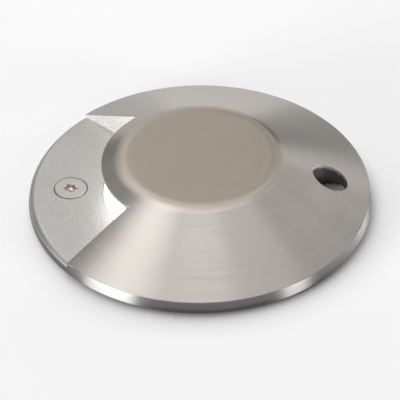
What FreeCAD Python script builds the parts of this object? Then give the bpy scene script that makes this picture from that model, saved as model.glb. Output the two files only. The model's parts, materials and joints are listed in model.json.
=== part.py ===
import FreeCAD, Part
import math
import os
import Sketcher

# In ground well light: a one-way steel cover on a finned lamp housing that hangs in a ground sleeve.
# The origin is on the centre line at ground level, the underside of the cover's rim. +Z is up, and
# the window in the cover faces -X. All sizes are millimetres, and heights are measured from the ground.

SIZES = {
    # Cover: a turned cone with a flat top. Radii run outwards from the window's inner edge.
    "window_radius": 28.5,
    "rim_overhang": 3.0,
    "rim_height": 3.2,
    "rim_draft": 0.4,
    "rim_edge_round": 0.5,
    "top_height": 16.0,
    "top_inset": 5.5,
    "top_blend": 10.0,
    "window_floor": 2.75,
    "window_half_angle": 46.4,
    "window_wall_angle": 38.3,
    "window_floor_round": 2.0,
    "notch_radius": 0.6,
    "lip": 1.0,
    "lens_setback": 0.5,
    # Cover screws: M5 countersunk, with a six-lobe socket and a centre pin
    "screw_radius": 2.5,
    "screw_head_radius": 4.65,
    "screw_land": 0.3,
    "screw_length": 14.0,
    "screw_hole_radius": 2.75,
    "countersink_radius": 5.13,
    "socket_reach": 2.25,
    "socket_lobe_radius": 0.55,
    "socket_core_radius": 1.65,
    "socket_depth": 1.8,
    "socket_pin_radius": 0.65,
    "insert_radius": 3.9,
    "insert_wall": 1.05,
    "insert_depth": 1.0,
    "screw_tip_gap": 0.55,
    "insert_bore_radius": 2.6,
    "insert_gap": 0.05,
    # Cover seal
    "seal_inset": 1.7,
    "seal_width": 1.7,
    "seal_height": 1.6,
    "seal_gap": 0.05,
    # Lens and its gaskets
    "lens_gap": 0.3,
    "lens_head_gap": 0.4,
    "lens_wall": 2.5,
    "lens_flange_width": 4.8,
    "lens_flange": 2.0,
    "lens_edge_round": 1.0,
    "lens_gasket": 1.0,
    "lens_gasket_width": 2.3,
    "lens_pocket_gap": 0.4,
    "lens_seat_width": 2.5,
    # Heat spreader, circlip, board and LEDs
    "spreader_gap": 0.25,
    "spreader_thickness": 4.0,
    "spreader_depth": 7.0,
    "circlip_thickness": 1.2,
    "circlip_bite": 1.1,
    "circlip_width": 2.6,
    "circlip_gap": 0.05,
    "circlip_opening": 9.0,
    "circlip_ear": 2.0,
    "circlip_ear_hole": 0.8,
    "pad_thickness": 0.5,
    "board_gap": 0.2,
    "board_thickness": 1.6,
    "board_screw_inset": 7.0,
    "board_screw_angle": 60.0,
    "small_screw_radius": 1.4,
    "small_screw_hole": 1.5,
    "small_head_radius": 2.7,
    "small_head": 1.8,
    "small_head_chamfer": 0.8,
    "small_slot_radius": 1.0,
    "small_slot_depth": 1.0,
    "board_screw_reach": 5.0,
    "led_circle": 8.0,
    "led_size": 3.0,
    "led_height": 0.8,
    "lead_circle": 14.0,
    "lead_hole_radius": 2.4,
    "lead_radius": 0.8,
    "lead_spacing": 2.0,
    "connector_length": 6.0,
    "connector_width": 7.0,
    "connector_height": 2.5,
    # One-way reflector
    "reflector_wall": 0.8,
    "reflector_gap": 0.8,
    "reflector_foot": 2.6,
    "reflector_roof_radius": 5.0,
    "reflector_sweep_angle": 200.0,
    # Housing
    "flange_thickness": 4.0,
    "head_wall": 1.75,
    "head_floor": 2.0,
    "ledge_width": 2.5,
    "barrel_wall": 4.0,
    "housing_depth": 60.0,
    "housing_floor": 4.0,
    "housing_chamfer": 2.5,
    "fin_gap": 4.5,
    "fin_thickness": 1.8,
    "fin_count": 21,
    "fin_root": 1.0,
    "fin_lift": 3.0,
    "fin_slope": 4.0,
    # Springs that hold the housing in the sleeve
    "spring_count": 3,
    "spring_width": 8.0,
    "spring_thickness": 0.6,
    "spring_seat_width": 10.0,
    "spring_seat_drop": 3.0,
    "spring_seat_length": 18.0,
    "spring_screw_drop": 6.0,
    "spring_screw_reach": 6.0,
    "spring_bow_drop": 11.0,
    "spring_tail_drop": 21.0,
    "spring_tail_lean": 2.0,
    "spring_bend_round": 5.0,
    "spring_gap": 0.3,
    # Driver
    "standoff_inset": 4.0,
    "standoff_radius": 3.0,
    "standoff_height": 10.0,
    "standoff_stud": 2.5,
    "standoff_bore": 6.0,
    "driver_board_gap": 2.5,
    "transformer_length": 18.0,
    "transformer_width": 16.0,
    "transformer_height": 13.0,
    "transformer_core": 5.0,
    "winding_inset": 1.5,
    "capacitor_inset": 9.0,
    "capacitor_radius": 4.0,
    "capacitor_height": 13.0,
    "capacitor_chamfer": 0.8,
    "terminal_length": 15.0,
    "terminal_width": 8.0,
    "terminal_height": 9.0,
    "terminal_pitch": 5.0,
    "terminal_hole_radius": 1.5,
    # Cable gland and vent in the housing's floor
    "gland_thread_radius": 7.95,
    "gland_thread_gap": 0.1,
    "gland_hex_radius": 11.5,
    "gland_hex": 5.0,
    "gland_washer": 1.5,
    "gland_washer_radius": 10.8,
    "gland_thread_reach": 9.0,
    "gland_spigot": 9.5,
    "gland_bore_radius": 5.0,
    "gland_seal_radius": 6.4,
    "gland_seal_length": 8.8,
    "gland_cable_radius": 3.6,
    "gland_nut_top_gap": 0.5,
    "gland_nut_hex": 7.0,
    "gland_nut_dome": 6.0,
    "gland_nut_slope": 3.0,
    "gland_nut_lip": 2.8,
    "locknut_hex_radius": 12.4,
    "locknut": 3.5,
    "vent_circle": 19.0,
    "vent_radius": 3.0,
    "vent_head_radius": 4.6,
    "vent_head": 3.0,
    "vent_bore_radius": 1.0,
    # Sleeve: barrel, foot and conduit hubs
    "sleeve_gap": 0.3,
    "head_gap": 1.0,
    "seat_width": 2.5,
    "sleeve_wall": 2.5,
    "collar_wall": 2.0,
    "collar_drop": 0.4,
    "collar_depth": 12.0,
    "collar_slope": 3.0,
    "rim_seal": 1.0,
    "rim_seal_inset": 0.2,
    "wiring_height": 17.0,
    "foot_thickness": 3.0,
    "foot_width": 11.0,
    "anchor_hole_radius": 2.75,
    "anchor_edge": 5.5,
    "gusset_height": 12.0,
    "gusset_width": 9.0,
    "gusset_thickness": 3.0,
    "gusset_count": 8,
    "drain_circle": 32.0,
    "drain_radius": 3.0,
    "drain_count": 8,
    "hub_lift": 0.5,
    "hub_wall": 2.55,
    "hub_length": 15.0,
    "conduit_radius": 13.45,
    "conduit_socket": 13.0,
    "conduit_stop": 1.5,
    "plug_gap": 0.2,
    "plug_wall": 2.0,
    "plug_head": 2.5,
    "plug_chamfer": 0.8,
    "plug_reach": 10.0,
}

PAST = 1.0          # how far a cutting outline runs past the surface that it opens
SAME = 0.01         # two heights nearer than this count as one
FULL_TURN = 360.0
XY, XZ, YZ = "XY_Plane", "XZ_Plane", "YZ_Plane"


class Length:
    """A number with the sheet formula that it comes from, so plain arithmetic keeps both."""

    def __init__(self, value, formula):
        self.value = value
        self.formula = formula

    def __add__(self, other):
        other = length(other)
        return Length(self.value + other.value, f"({self.formula} + {other.formula})")

    def __sub__(self, other):
        other = length(other)
        return Length(self.value - other.value, f"({self.formula} - {other.formula})")

    def __mul__(self, other):
        other = length(other)
        return Length(self.value * other.value, f"({self.formula} * {other.formula})")

    def __truediv__(self, other):
        other = length(other)
        return Length(self.value / other.value, f"({self.formula} / {other.formula})")

    def __radd__(self, other):
        return length(other) + self

    def __rsub__(self, other):
        return length(other) - self

    def __rmul__(self, other):
        return length(other) * self

    def __neg__(self):
        return Length(-self.value, f"(-{self.formula})")


def length(item):
    return item if isinstance(item, Length) else Length(float(item), repr(float(item)))


def cosine(angle):
    angle = length(angle)
    return Length(math.cos(math.radians(angle.value)), f"cos({angle.formula})")


def sine(angle):
    angle = length(angle)
    return Length(math.sin(math.radians(angle.value)), f"sin({angle.formula})")


class Sheet:
    """The driving sizes, each as an attribute that knows its own cell."""

    def __init__(self, document):
        cells = document.addObject("Spreadsheet::Sheet", "Sizes")
        for row, (name, value) in enumerate(SIZES.items(), 1):
            cells.set(f"A{row}", name.replace("_", " "))
            cells.set(f"B{row}", str(value))
            cells.setAlias(f"B{row}", name)
            setattr(self, name, Length(value, f"Sizes.{name}"))


document = FreeCAD.newDocument("well_light")
s = Sheet(document)
document.recompute()

# Radii that several pieces share, from the lens outwards

lens_bore_radius = s.window_radius - s.lens_setback
lens_radius = lens_bore_radius - s.lens_gap
lens_inner_radius = lens_radius - s.lens_wall
lens_flange_radius = lens_radius + s.lens_flange_width
lens_pocket_radius = lens_flange_radius + s.lens_pocket_gap
screw_circle = lens_pocket_radius + s.insert_wall + s.insert_radius
head_radius = screw_circle + s.insert_radius + s.head_wall
sleeve_bore_radius = head_radius + s.head_gap
flange_radius = sleeve_bore_radius + s.seat_width
rim_radius = flange_radius + s.rim_overhang
rim_top_radius = rim_radius - s.rim_draft
top_radius = s.window_radius - s.top_inset
seat_radius = flange_radius + s.sleeve_gap
sleeve_radius = sleeve_bore_radius + s.sleeve_wall
foot_radius = sleeve_radius + s.foot_width
hub_face = sleeve_radius + s.hub_length
hub_radius = s.conduit_radius + s.hub_wall
socket_end = hub_face - s.conduit_socket
through_radius = s.conduit_radius - s.conduit_stop
fin_radius = sleeve_bore_radius - s.fin_gap

spreader_bore = lens_flange_radius - s.lens_seat_width
spreader_radius = spreader_bore - s.spreader_gap
barrel_inner_radius = spreader_bore - s.ledge_width
barrel_radius = barrel_inner_radius + s.barrel_wall
circlip_radius = spreader_bore + s.circlip_bite
board_radius = lens_inner_radius - s.board_gap
board_screw_circle = board_radius - s.board_screw_inset
driver_board_radius = barrel_inner_radius - s.driver_board_gap
standoff_circle = driver_board_radius - s.standoff_inset
gland_hole_radius = s.gland_thread_radius + s.gland_thread_gap

# Heights that several pieces share, from the cover down

cone_slope = (s.top_height - s.rim_height) / (rim_top_radius - top_radius)
window_edge_height = s.rim_height + (rim_top_radius - s.window_radius) * cone_slope
lens_ceiling = window_edge_height - s.lip
lens_top = lens_ceiling - s.lens_head_gap
lens_flange_top = -s.lens_gasket
lens_flange_bottom = lens_flange_top - s.lens_flange
lens_pocket_floor = lens_flange_bottom - s.lens_gasket

spreader_top = -s.spreader_depth
spreader_bottom = spreader_top - s.spreader_thickness
board_bottom = spreader_top + s.pad_thickness
board_top = board_bottom + s.board_thickness
driver_board_top = spreader_bottom - s.standoff_height
driver_board_bottom = driver_board_top - s.board_thickness

screw_tip = s.window_floor - s.screw_length
insert_bottom = screw_tip - s.screw_tip_gap
head_bottom = insert_bottom - s.head_floor
flange_bottom = -s.flange_thickness
spring_seat_top = head_bottom - s.spring_seat_drop
spring_seat_bottom = spring_seat_top - s.spring_seat_length
spring_screw_height = spring_seat_top - s.spring_screw_drop
housing_bottom = -s.housing_depth
housing_floor_top = housing_bottom + s.housing_floor

gland_hex_top = housing_bottom - s.gland_washer
gland_hex_bottom = gland_hex_top - s.gland_hex
gland_spigot_end = gland_hex_bottom - s.gland_spigot
gland_nut_top = gland_hex_bottom - s.gland_nut_top_gap
gland_nut_bottom = gland_nut_top - s.gland_nut_hex - s.gland_nut_dome

seal_seat = flange_bottom - s.rim_seal
foot_top = gland_nut_bottom - s.wiring_height
foot_bottom = foot_top - s.foot_thickness
hub_height = foot_top + s.hub_lift + hub_radius


# Small steps that every body is made with

def drive(item, name, size):
    """Set a property and bind it to the sheet."""
    size = length(size)
    item.setExpression(name, size.formula)


def origin_of(body, role):
    return next(item for item in body.Origin.OriginFeatures if item.Role == role)


def new_body(label):
    body = document.addObject("PartDesign::Body", label)
    body.Label = label
    return body


def sketch_on(body, name, role, lift=0, shift=(0, 0), turn=None):
    """A sketch on one of the body's own planes, lifted along its normal and shifted within it."""
    sketch = body.newObject("Sketcher::SketchObject", name)
    sketch.AttachmentSupport = [(origin_of(body, role), "")]
    sketch.MapMode = "FlatFace"
    if turn is not None:
        sketch.AttachmentOffset = FreeCAD.Placement(
            FreeCAD.Vector(), FreeCAD.Rotation(FreeCAD.Vector(0, 1, 0), turn))
    for axis, offset in zip("xyz", (*shift, lift)):
        if isinstance(offset, Length):
            drive(sketch, f"AttachmentOffset.Base.{axis}", offset)
    return sketch


def hold_point(sketch, item, end, x, y):
    """Hold a point of the sketch at x, y from the sketch's origin."""
    horizontal_axis, vertical_axis = -1, -2
    for axis, kind, offset in ((vertical_axis, "DistanceX", x), (horizontal_axis, "DistanceY", y)):
        if isinstance(offset, Length):
            index = sketch.addConstraint(Sketcher.Constraint(kind, -1, 1, item, end, offset.value))
            sketch.setExpression(f"Constraints[{index}]", offset.formula)
        elif offset == 0:
            sketch.addConstraint(Sketcher.Constraint("PointOnObject", item, end, axis))
        else:
            sketch.addConstraint(Sketcher.Constraint(kind, -1, 1, item, end, float(offset)))


def add_circle(sketch, x, y, radius):
    centre = FreeCAD.Vector(length(x).value, length(y).value, 0)
    circle = sketch.addGeometry(Part.Circle(centre, FreeCAD.Vector(0, 0, 1), radius.value), False)
    index = sketch.addConstraint(Sketcher.Constraint("Radius", circle, radius.value))
    sketch.setExpression(f"Constraints[{index}]", radius.formula)
    hold_point(sketch, circle, 3, x, y)


def tangent_points(before, corner, after, radius):
    """Where a rounding of this radius leaves the two lines that meet at a corner, and its centre."""
    to_before = (before - corner).normalize()
    to_after = (after - corner).normalize()
    half = to_before.getAngle(to_after) / 2
    reach = radius / math.tan(half)
    middle = (to_before + to_after).normalize() * (radius / math.sin(half))
    return corner + to_before * reach, corner + to_after * reach, corner + middle


def add_rounding(sketch, corner, points, radius):
    """An arc for one corner of an outline. Gives its number and which of its ends comes first."""
    start, stop, centre = tangent_points(*points, radius.value)
    turns_left = (points[1] - points[0]).cross(points[2] - points[1]).z > 0
    first, last = (start, stop) if turns_left else (stop, start)
    angles = [math.atan2(point.y - centre.y, point.x - centre.x) for point in (first, last)]
    circle = Part.Circle(centre, FreeCAD.Vector(0, 0, 1), radius.value)
    arc = sketch.addGeometry(Part.ArcOfCircle(circle, *angles), False)
    index = sketch.addConstraint(Sketcher.Constraint("Radius", arc, radius.value))
    sketch.setExpression(f"Constraints[{index}]", radius.formula)
    mark = sketch.addGeometry(Part.Point(points[1]), True)
    hold_point(sketch, mark, 1, corner[0], corner[1])
    return start, stop, arc, mark, (1, 2) if turns_left else (2, 1)


def add_outline(sketch, corners):
    """A closed loop of lines through the corners. A corner's third value is the radius of its rounding."""
    points = [FreeCAD.Vector(length(corner[0]).value, length(corner[1]).value, 0) for corner in corners]
    count = len(corners)
    roundings = {}
    for i, corner in enumerate(corners):
        if len(corner) == 3:
            around = (points[i - 1], points[i], points[(i + 1) % count])
            roundings[i] = add_rounding(sketch, corner, around, corner[2])
    lines = []
    for i in range(count):
        following = (i + 1) % count
        start = roundings[i][1] if i in roundings else points[i]
        stop = roundings[following][0] if following in roundings else points[following]
        lines.append(sketch.addGeometry(Part.LineSegment(start, stop), False))
    for i, corner in enumerate(corners):
        arriving, leaving = lines[i - 1], lines[i]
        if i in roundings:
            arc, mark, (arc_start, arc_stop) = roundings[i][2:]
            sketch.addConstraint(Sketcher.Constraint("Tangent", arriving, 2, arc, arc_start))
            sketch.addConstraint(Sketcher.Constraint("Tangent", arc, arc_stop, leaving, 1))
            sketch.addConstraint(Sketcher.Constraint("PointOnObject", mark, 1, arriving))
            sketch.addConstraint(Sketcher.Constraint("PointOnObject", mark, 1, leaving))
        else:
            sketch.addConstraint(Sketcher.Constraint("Coincident", arriving, 2, leaving, 1))
            hold_point(sketch, leaving, 1, corner[0], corner[1])


def ring_corners(inner, outer, bottom, top):
    return [(inner, bottom), (outer, bottom), (outer, top), (inner, top)]


def turned(body, kind, name, sketch, axis="V_Axis", sweep=None):
    """A Revolution or a Groove of the sketch about one of its own axes."""
    feature = body.newObject(f"PartDesign::{kind}", name)
    feature.Profile = sketch
    feature.ReferenceAxis = (sketch, [axis])
    feature.Angle = FULL_TURN
    if sweep is not None:
        feature.Midplane = True
        drive(feature, "Angle", sweep)
    return feature


def turned_body(label, corners, shift=(0, 0), axis="V_Axis"):
    """A body whose first feature is a turned outline in its XZ plane."""
    body = new_body(label)
    sketch = sketch_on(body, f"{label}_outline", XZ, shift=shift)
    add_outline(sketch, corners)
    first = turned(body, "Revolution", f"{label}_turned", sketch, axis)
    return body, first


def turned_cut(body, name, corners, shift=(0, 0), axis="V_Axis", sweep=None):
    sketch = sketch_on(body, f"{name}_outline", XZ, shift=shift)
    add_outline(sketch, corners)
    return turned(body, "Groove", name, sketch, axis, sweep)


def thickened(body, kind, name, sketch, distance, both_ways=False, backwards=False):
    """A Pad or a Pocket of the sketch."""
    feature = body.newObject(f"PartDesign::{kind}", name)
    feature.Profile = sketch
    feature.Midplane = both_ways
    feature.Reversed = backwards
    drive(feature, "Length", distance)
    return feature


def drilled(body, name, places, radius, top, depth):
    """Straight round holes down from a height."""
    sketch = sketch_on(body, f"{name}_outline", XY, lift=length(top))
    for x, y in places:
        add_circle(sketch, x, y, radius)
    return thickened(body, "Pocket", name, sketch, depth)


def polar_copies(body, name, features, count):
    pattern = body.newObject("PartDesign::PolarPattern", name)
    pattern.Originals = features
    pattern.Axis = (origin_of(body, "Z_Axis"), [""])
    pattern.Angle = FULL_TURN
    drive(pattern, "Occurrences", count)
    body.Tip = pattern
    return pattern


def hexagon(body, name, radius, bottom, height):
    """A six-sided prism whose corners lie on a circle of this radius."""
    prism = body.newObject("PartDesign::AdditivePrism", name)
    prism.AttachmentSupport = [(origin_of(body, XY), "")]
    prism.MapMode = "FlatFace"
    prism.Polygon = 6
    drive(prism, "AttachmentOffset.Base.z", bottom)
    drive(prism, "Circumradius", radius)
    drive(prism, "Height", height)
    return prism


def block(body, name, centre_x, centre_y, bottom, size_x, size_y, size_z, kind="Additive"):
    """A box standing on a height, centred on x, y."""
    box = body.newObject(f"PartDesign::{kind}Box", name)
    box.AttachmentSupport = [(origin_of(body, XY), "")]
    box.MapMode = "FlatFace"
    drive(box, "Length", size_x)
    drive(box, "Width", size_y)
    drive(box, "Height", size_z)
    drive(box, "AttachmentOffset.Base.x", length(centre_x) - length(size_x) / 2)
    drive(box, "AttachmentOffset.Base.y", length(centre_y) - length(size_y) / 2)
    drive(box, "AttachmentOffset.Base.z", bottom)
    return box


def on_circle(radius, angle):
    return radius * cosine(angle), radius * sine(angle)


def spaced_on_circle(radius, first_angle, count):
    return [on_circle(radius, first_angle + FULL_TURN * i / count) for i in range(count)]


# The cover and what rides on it

def add_window(body):
    """Cut the one-way window: a wedge between two straight walls, open from the lens to the rim."""
    corner_x, corner_y = on_circle(s.window_radius, s.window_half_angle)
    far = rim_radius + PAST
    far_y = corner_y + (far - corner_x) * sine(s.window_wall_angle) / cosine(s.window_wall_angle)
    sketch = sketch_on(body, "window_outline", XY, lift=s.window_floor)
    half = math.radians(s.window_half_angle.value)
    circle = Part.Circle(FreeCAD.Vector(), FreeCAD.Vector(0, 0, 1), s.window_radius.value)
    arc = sketch.addGeometry(Part.ArcOfCircle(circle, math.pi - half, math.pi + half), False)
    near, out = -corner_x.value, -far.value
    places = [(near, -corner_y.value), (out, -far_y.value), (out, far_y.value), (near, corner_y.value)]
    vectors = [FreeCAD.Vector(x, y, 0) for x, y in places]
    walls = [sketch.addGeometry(Part.LineSegment(*ends), False) for ends in zip(vectors, vectors[1:])]
    chain = [(arc, 2), (walls[0], 1), (walls[0], 2), (walls[1], 1), (walls[1], 2), (walls[2], 1),
             (walls[2], 2), (arc, 1)]
    for (one, one_end), (other, other_end) in zip(chain[::2], chain[1::2]):
        sketch.addConstraint(Sketcher.Constraint("Coincident", one, one_end, other, other_end))
    hold_point(sketch, arc, 3, 0, 0)
    radius = sketch.addConstraint(Sketcher.Constraint("Radius", arc, s.window_radius.value))
    sketch.setExpression(f"Constraints[{radius}]", s.window_radius.formula)
    for end, height in ((1, corner_y), (2, -corner_y)):
        index = sketch.addConstraint(Sketcher.Constraint("DistanceY", -1, 1, arc, end, height.value))
        sketch.setExpression(f"Constraints[{index}]", height.formula)
    hold_point(sketch, walls[0], 2, -far, -far_y)
    hold_point(sketch, walls[2], 1, -far, far_y)
    thickened(body, "Pocket", "window", sketch, s.top_height, backwards=True)
    notches = sketch_on(body, "notch_outline", XY, lift=s.window_floor)
    for side in (1, -1):
        add_circle(notches, -corner_x, side * corner_y, s.notch_radius)
    thickened(body, "Pocket", "notches", notches, s.top_height, backwards=True)
    opening = ring_corners(-(s.window_radius + PAST), -(lens_bore_radius - PAST),
                           s.window_floor, lens_ceiling)
    turned_cut(body, "window_opening", opening, sweep=2 * s.window_half_angle)


def edges_at(shape, wanted):
    """Names of the edges whose middle point passes a test."""
    names = []
    for number, edge in enumerate(shape.Edges, 1):
        middle = edge.valueAt((edge.FirstParameter + edge.LastParameter) / 2)
        if wanted(middle, edge):
            names.append(f"Edge{number}")
    return names


def finish_edges(body, kind, name, base, names, size):
    """A Fillet or a Chamfer of the named edges."""
    feature = body.newObject(f"PartDesign::{kind}", name)
    feature.Base = (base, names)
    drive(feature, "Radius" if kind == "Fillet" else "Size", size)
    body.Tip = feature


def make_cover():
    body, _ = turned_body("cover", [
        (0, 0), (rim_radius, 0), (rim_top_radius, s.rim_height, s.rim_edge_round),
        (top_radius, s.top_height, s.top_blend), (0, s.top_height)])
    turned_cut(body, "lens_cavity", ring_corners(0, lens_bore_radius, -length(PAST), lens_ceiling))
    add_window(body)
    seal_outer = flange_radius - s.seal_inset
    groove = ring_corners(seal_outer - s.seal_width - s.seal_gap, seal_outer + s.seal_gap,
                          -length(PAST), s.seal_height + 2 * s.seal_gap)
    turned_cut(body, "seal_groove", groove)
    throat = s.window_floor - (s.countersink_radius - s.screw_hole_radius)
    top = s.top_height + PAST
    hole = turned_cut(body, "screw_hole", [
        (0, -length(PAST)), (s.screw_hole_radius, -length(PAST)), (s.screw_hole_radius, throat),
        (s.countersink_radius, s.window_floor), (s.countersink_radius, top), (0, top)],
        shift=(screw_circle, 0))
    holes = polar_copies(body, "screw_holes", [hole], length(2))
    document.recompute()

    floor = s.window_floor.value

    def outer_floor_edge(middle, edge):
        return abs(middle.z - floor) < SAME and middle.x < 0 and middle.Length > rim_top_radius.value

    finish_edges(body, "Fillet", "window_floor_edge", holes,
                 edges_at(holes.Shape, outer_floor_edge), s.window_floor_round)
    return body


def make_cover_gasket():
    outer = flange_radius - s.seal_inset
    body, _ = turned_body("cover_gasket", ring_corners(outer - s.seal_width, outer, s.seal_gap,
                                                       s.seal_gap + s.seal_height))
    return body


def make_cover_screw(label, side):
    """A countersunk screw on its own centre line, set on the screw circle with its head in the cover."""
    head = s.window_floor
    cone_end = head - s.screw_land - (s.screw_head_radius - s.screw_radius)
    chamfer = s.screw_land
    body, _ = turned_body(label, [
        (0, screw_tip), (s.screw_radius - chamfer, screw_tip), (s.screw_radius, screw_tip + chamfer),
        (s.screw_radius, cone_end), (s.screw_head_radius, head - s.screw_land),
        (s.screw_head_radius, head), (0, head)])
    core = sketch_on(body, f"{label}_socket_core", XY, lift=head)
    add_circle(core, 0, 0, s.socket_core_radius)
    add_circle(core, 0, 0, s.socket_pin_radius)
    thickened(body, "Pocket", f"{label}_socket", core, s.socket_depth)
    lobe = sketch_on(body, f"{label}_socket_lobe", XY, lift=head)
    add_circle(lobe, s.socket_reach - s.socket_lobe_radius, 0, s.socket_lobe_radius)
    lobe_cut = thickened(body, "Pocket", f"{label}_lobe", lobe, s.socket_depth)
    polar_copies(body, f"{label}_lobes", [lobe_cut], length(6))
    drive(body, "Placement.Base.x", side * screw_circle)
    return body


# The lens, what clamps it, and the lamp under it

def make_lens():
    body, _ = turned_body("lens", [
        (0, lens_top), (0, lens_top - s.lens_wall), (lens_inner_radius, lens_top - s.lens_wall),
        (lens_inner_radius, lens_flange_bottom), (lens_flange_radius, lens_flange_bottom),
        (lens_flange_radius, lens_flange_top), (lens_radius, lens_flange_top),
        (lens_radius, lens_top, s.lens_edge_round)])
    return body


def make_lens_gasket(label, bottom):
    inner = lens_flange_radius - s.lens_gasket_width
    body, _ = turned_body(label, ring_corners(inner, lens_flange_radius, bottom, bottom + s.lens_gasket))
    return body


def make_reflector():
    """A facetted half dome behind the LEDs that throws the light out through the window."""
    outer = lens_inner_radius - s.reflector_gap
    height = lens_top - s.lens_wall - s.reflector_gap - board_top
    span = outer - s.reflector_roof_radius
    facets = 4
    angles = [90 / facets * i for i in range(facets + 1)]
    outside = [(s.reflector_roof_radius + span * cosine(angle), board_top + height * sine(angle))
               for angle in angles]
    inside = [(s.reflector_roof_radius + (span - s.reflector_wall) * cosine(angle),
               board_top + s.reflector_wall + (height - 2 * s.reflector_wall) * sine(angle))
              for angle in angles]
    foot_inner = outer - s.reflector_wall - s.reflector_foot
    foot = [(foot_inner, board_top + s.reflector_wall), (foot_inner, board_top)]
    body = new_body("reflector")
    sketch = sketch_on(body, "reflector_section", XZ)
    add_outline(sketch, outside + inside[::-1] + foot)
    turned(body, "Revolution", "reflector_shell", sketch, sweep=s.reflector_sweep_angle)
    return body


def make_led_packages():
    """One LED in the middle of the board and six round it."""
    body = new_body("led_packages")
    block(body, "middle_led", 0, 0, board_top, s.led_size, s.led_size, s.led_height)
    ring = block(body, "ring_led", s.led_circle, 0, board_top, s.led_size, s.led_size, s.led_height)
    polar_copies(body, "ring_leds", [ring], length(6))
    return body


def board_screw_places():
    return spaced_on_circle(board_screw_circle, s.board_screw_angle, 3)


def standoff_places():
    return spaced_on_circle(standoff_circle, length(0), 3)


def make_lamp_disc(label, radius, bottom, thickness):
    """A disc of the stack under the lens, with the holes that all three discs share."""
    body, _ = turned_body(label, ring_corners(0, radius, bottom, bottom + thickness))
    top = bottom + thickness
    drilled(body, f"{label}_screw_holes", board_screw_places(), s.small_screw_hole, top, thickness)
    drilled(body, f"{label}_lead_hole", [(s.lead_circle, 0)], s.lead_hole_radius, top, thickness)
    return body


def make_heat_spreader():
    body = make_lamp_disc("heat_spreader", spreader_radius, spreader_bottom, s.spreader_thickness)
    stud_hole = s.standoff_stud + s.spreader_gap
    drilled(body, "stud_holes", standoff_places(), s.small_screw_hole, spreader_bottom + stud_hole, stud_hole)
    return body


def small_screw_corners(seat, reach):
    """Half the outline of a small screw whose head sits on a height and whose shank goes down."""
    top = seat + s.small_head
    return [(0, seat - reach), (s.small_screw_radius, seat - reach), (s.small_screw_radius, seat),
            (s.small_head_radius, seat), (s.small_head_radius, top - s.small_head_chamfer),
            (s.small_head_radius - s.small_head_chamfer, top), (s.small_slot_radius, top),
            (s.small_slot_radius, top - s.small_slot_depth), (0, top - s.small_slot_depth)]


def make_board_screws():
    body, screw = turned_body("board_screws", small_screw_corners(board_top, s.board_screw_reach),
                              shift=(board_screw_circle, 0))
    polar_copies(body, "board_screw_set", [screw], length(3))
    drive(body, "Placement.Rotation.Angle", s.board_screw_angle)
    return body


def make_led_connector():
    body = new_body("led_connector")
    block(body, "connector_shell", s.lead_circle, 0, board_top,
          s.connector_length, s.connector_width, s.connector_height)
    wall = s.connector_height / 4
    block(body, "connector_mouth", s.lead_circle - wall, 0, board_top + wall, s.connector_length,
          s.connector_width - 2 * wall, s.connector_height - 2 * wall, kind="Subtractive")
    return body


def make_led_leads():
    """Two insulated wires from the driver board up to the connector."""
    body = new_body("led_leads")
    sketch = sketch_on(body, "lead_sections", XY, lift=driver_board_top)
    for side in (1, -1):
        add_circle(sketch, s.lead_circle, side * s.lead_spacing / 2, s.lead_radius)
    thickened(body, "Pad", "leads", sketch, board_top - driver_board_top)
    return body


def make_retaining_ring():
    """An internal circlip: a split ring in the housing's groove, with an ear at each side of the split."""
    top = spreader_top + s.circlip_thickness
    inner = circlip_radius - s.circlip_width
    body, _ = turned_body("retaining_ring", ring_corners(inner, circlip_radius, spreader_top, top))
    ear_centre = inner - s.circlip_ear / 2
    ear_side = s.circlip_opening / 2 + s.circlip_ear
    ears = sketch_on(body, "ear_outline", XY, lift=spreader_top)
    for side in (1, -1):
        add_circle(ears, -ear_centre, side * ear_side, s.circlip_ear)
    thickened(body, "Pad", "ears", ears, s.circlip_thickness)
    block(body, "split", -circlip_radius, 0, spreader_top - PAST, 2 * s.circlip_width + s.circlip_ear * 4,
          s.circlip_opening, s.circlip_thickness + 2 * PAST, kind="Subtractive")
    places = [(-ear_centre, side * ear_side) for side in (1, -1)]
    drilled(body, "ear_holes", places, s.circlip_ear_hole, top, s.circlip_thickness)
    return body


# The housing and what is fixed to it

def make_housing():
    """A pot with a flange, a solid head for the inserts, a finned barrel and a floor with two holes."""
    groove_gap = s.circlip_gap
    body, _ = turned_body("housing", [
        (lens_pocket_radius, 0), (lens_pocket_radius, lens_pocket_floor), (spreader_bore, lens_pocket_floor),
        (spreader_bore, spreader_bottom), (barrel_inner_radius, spreader_bottom),
        (barrel_inner_radius, housing_floor_top), (0, housing_floor_top), (0, housing_bottom),
        (barrel_radius - s.housing_chamfer, housing_bottom),
        (barrel_radius, housing_bottom + s.housing_chamfer), (barrel_radius, head_bottom),
        (head_radius, head_bottom), (head_radius, flange_bottom), (flange_radius, flange_bottom),
        (flange_radius, 0)])
    add_fins(body)
    add_spring_seats(body)
    groove = ring_corners(barrel_inner_radius, circlip_radius + groove_gap, spreader_top - groove_gap,
                          spreader_top + s.circlip_thickness + groove_gap)
    turned_cut(body, "circlip_groove", groove)
    insert_end = s.insert_gap - insert_bottom
    places = [(side * screw_circle, 0) for side in (1, -1)]
    drilled(body, "insert_holes", places, s.insert_radius + s.insert_gap, 0, insert_end)
    drilled(body, "gland_hole", [(0, 0)], gland_hole_radius, housing_floor_top, s.housing_floor)
    drilled(body, "vent_hole", [(0, -s.vent_circle)], s.vent_radius + s.insert_gap, housing_floor_top,
            s.housing_floor)
    return body


def add_fins(body):
    root = barrel_radius - s.fin_root
    top = head_bottom + s.fin_root
    bottom = housing_bottom + s.fin_lift
    sketch = sketch_on(body, "fin_outline", XZ)
    add_outline(sketch, [(root, top), (fin_radius, top), (fin_radius, bottom + s.fin_slope),
                         (fin_radius - s.fin_slope, bottom), (root, bottom)])
    fin = thickened(body, "Pad", "fin", sketch, s.fin_thickness, both_ways=True)
    polar_copies(body, "fins", [fin], s.fin_count)


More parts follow.
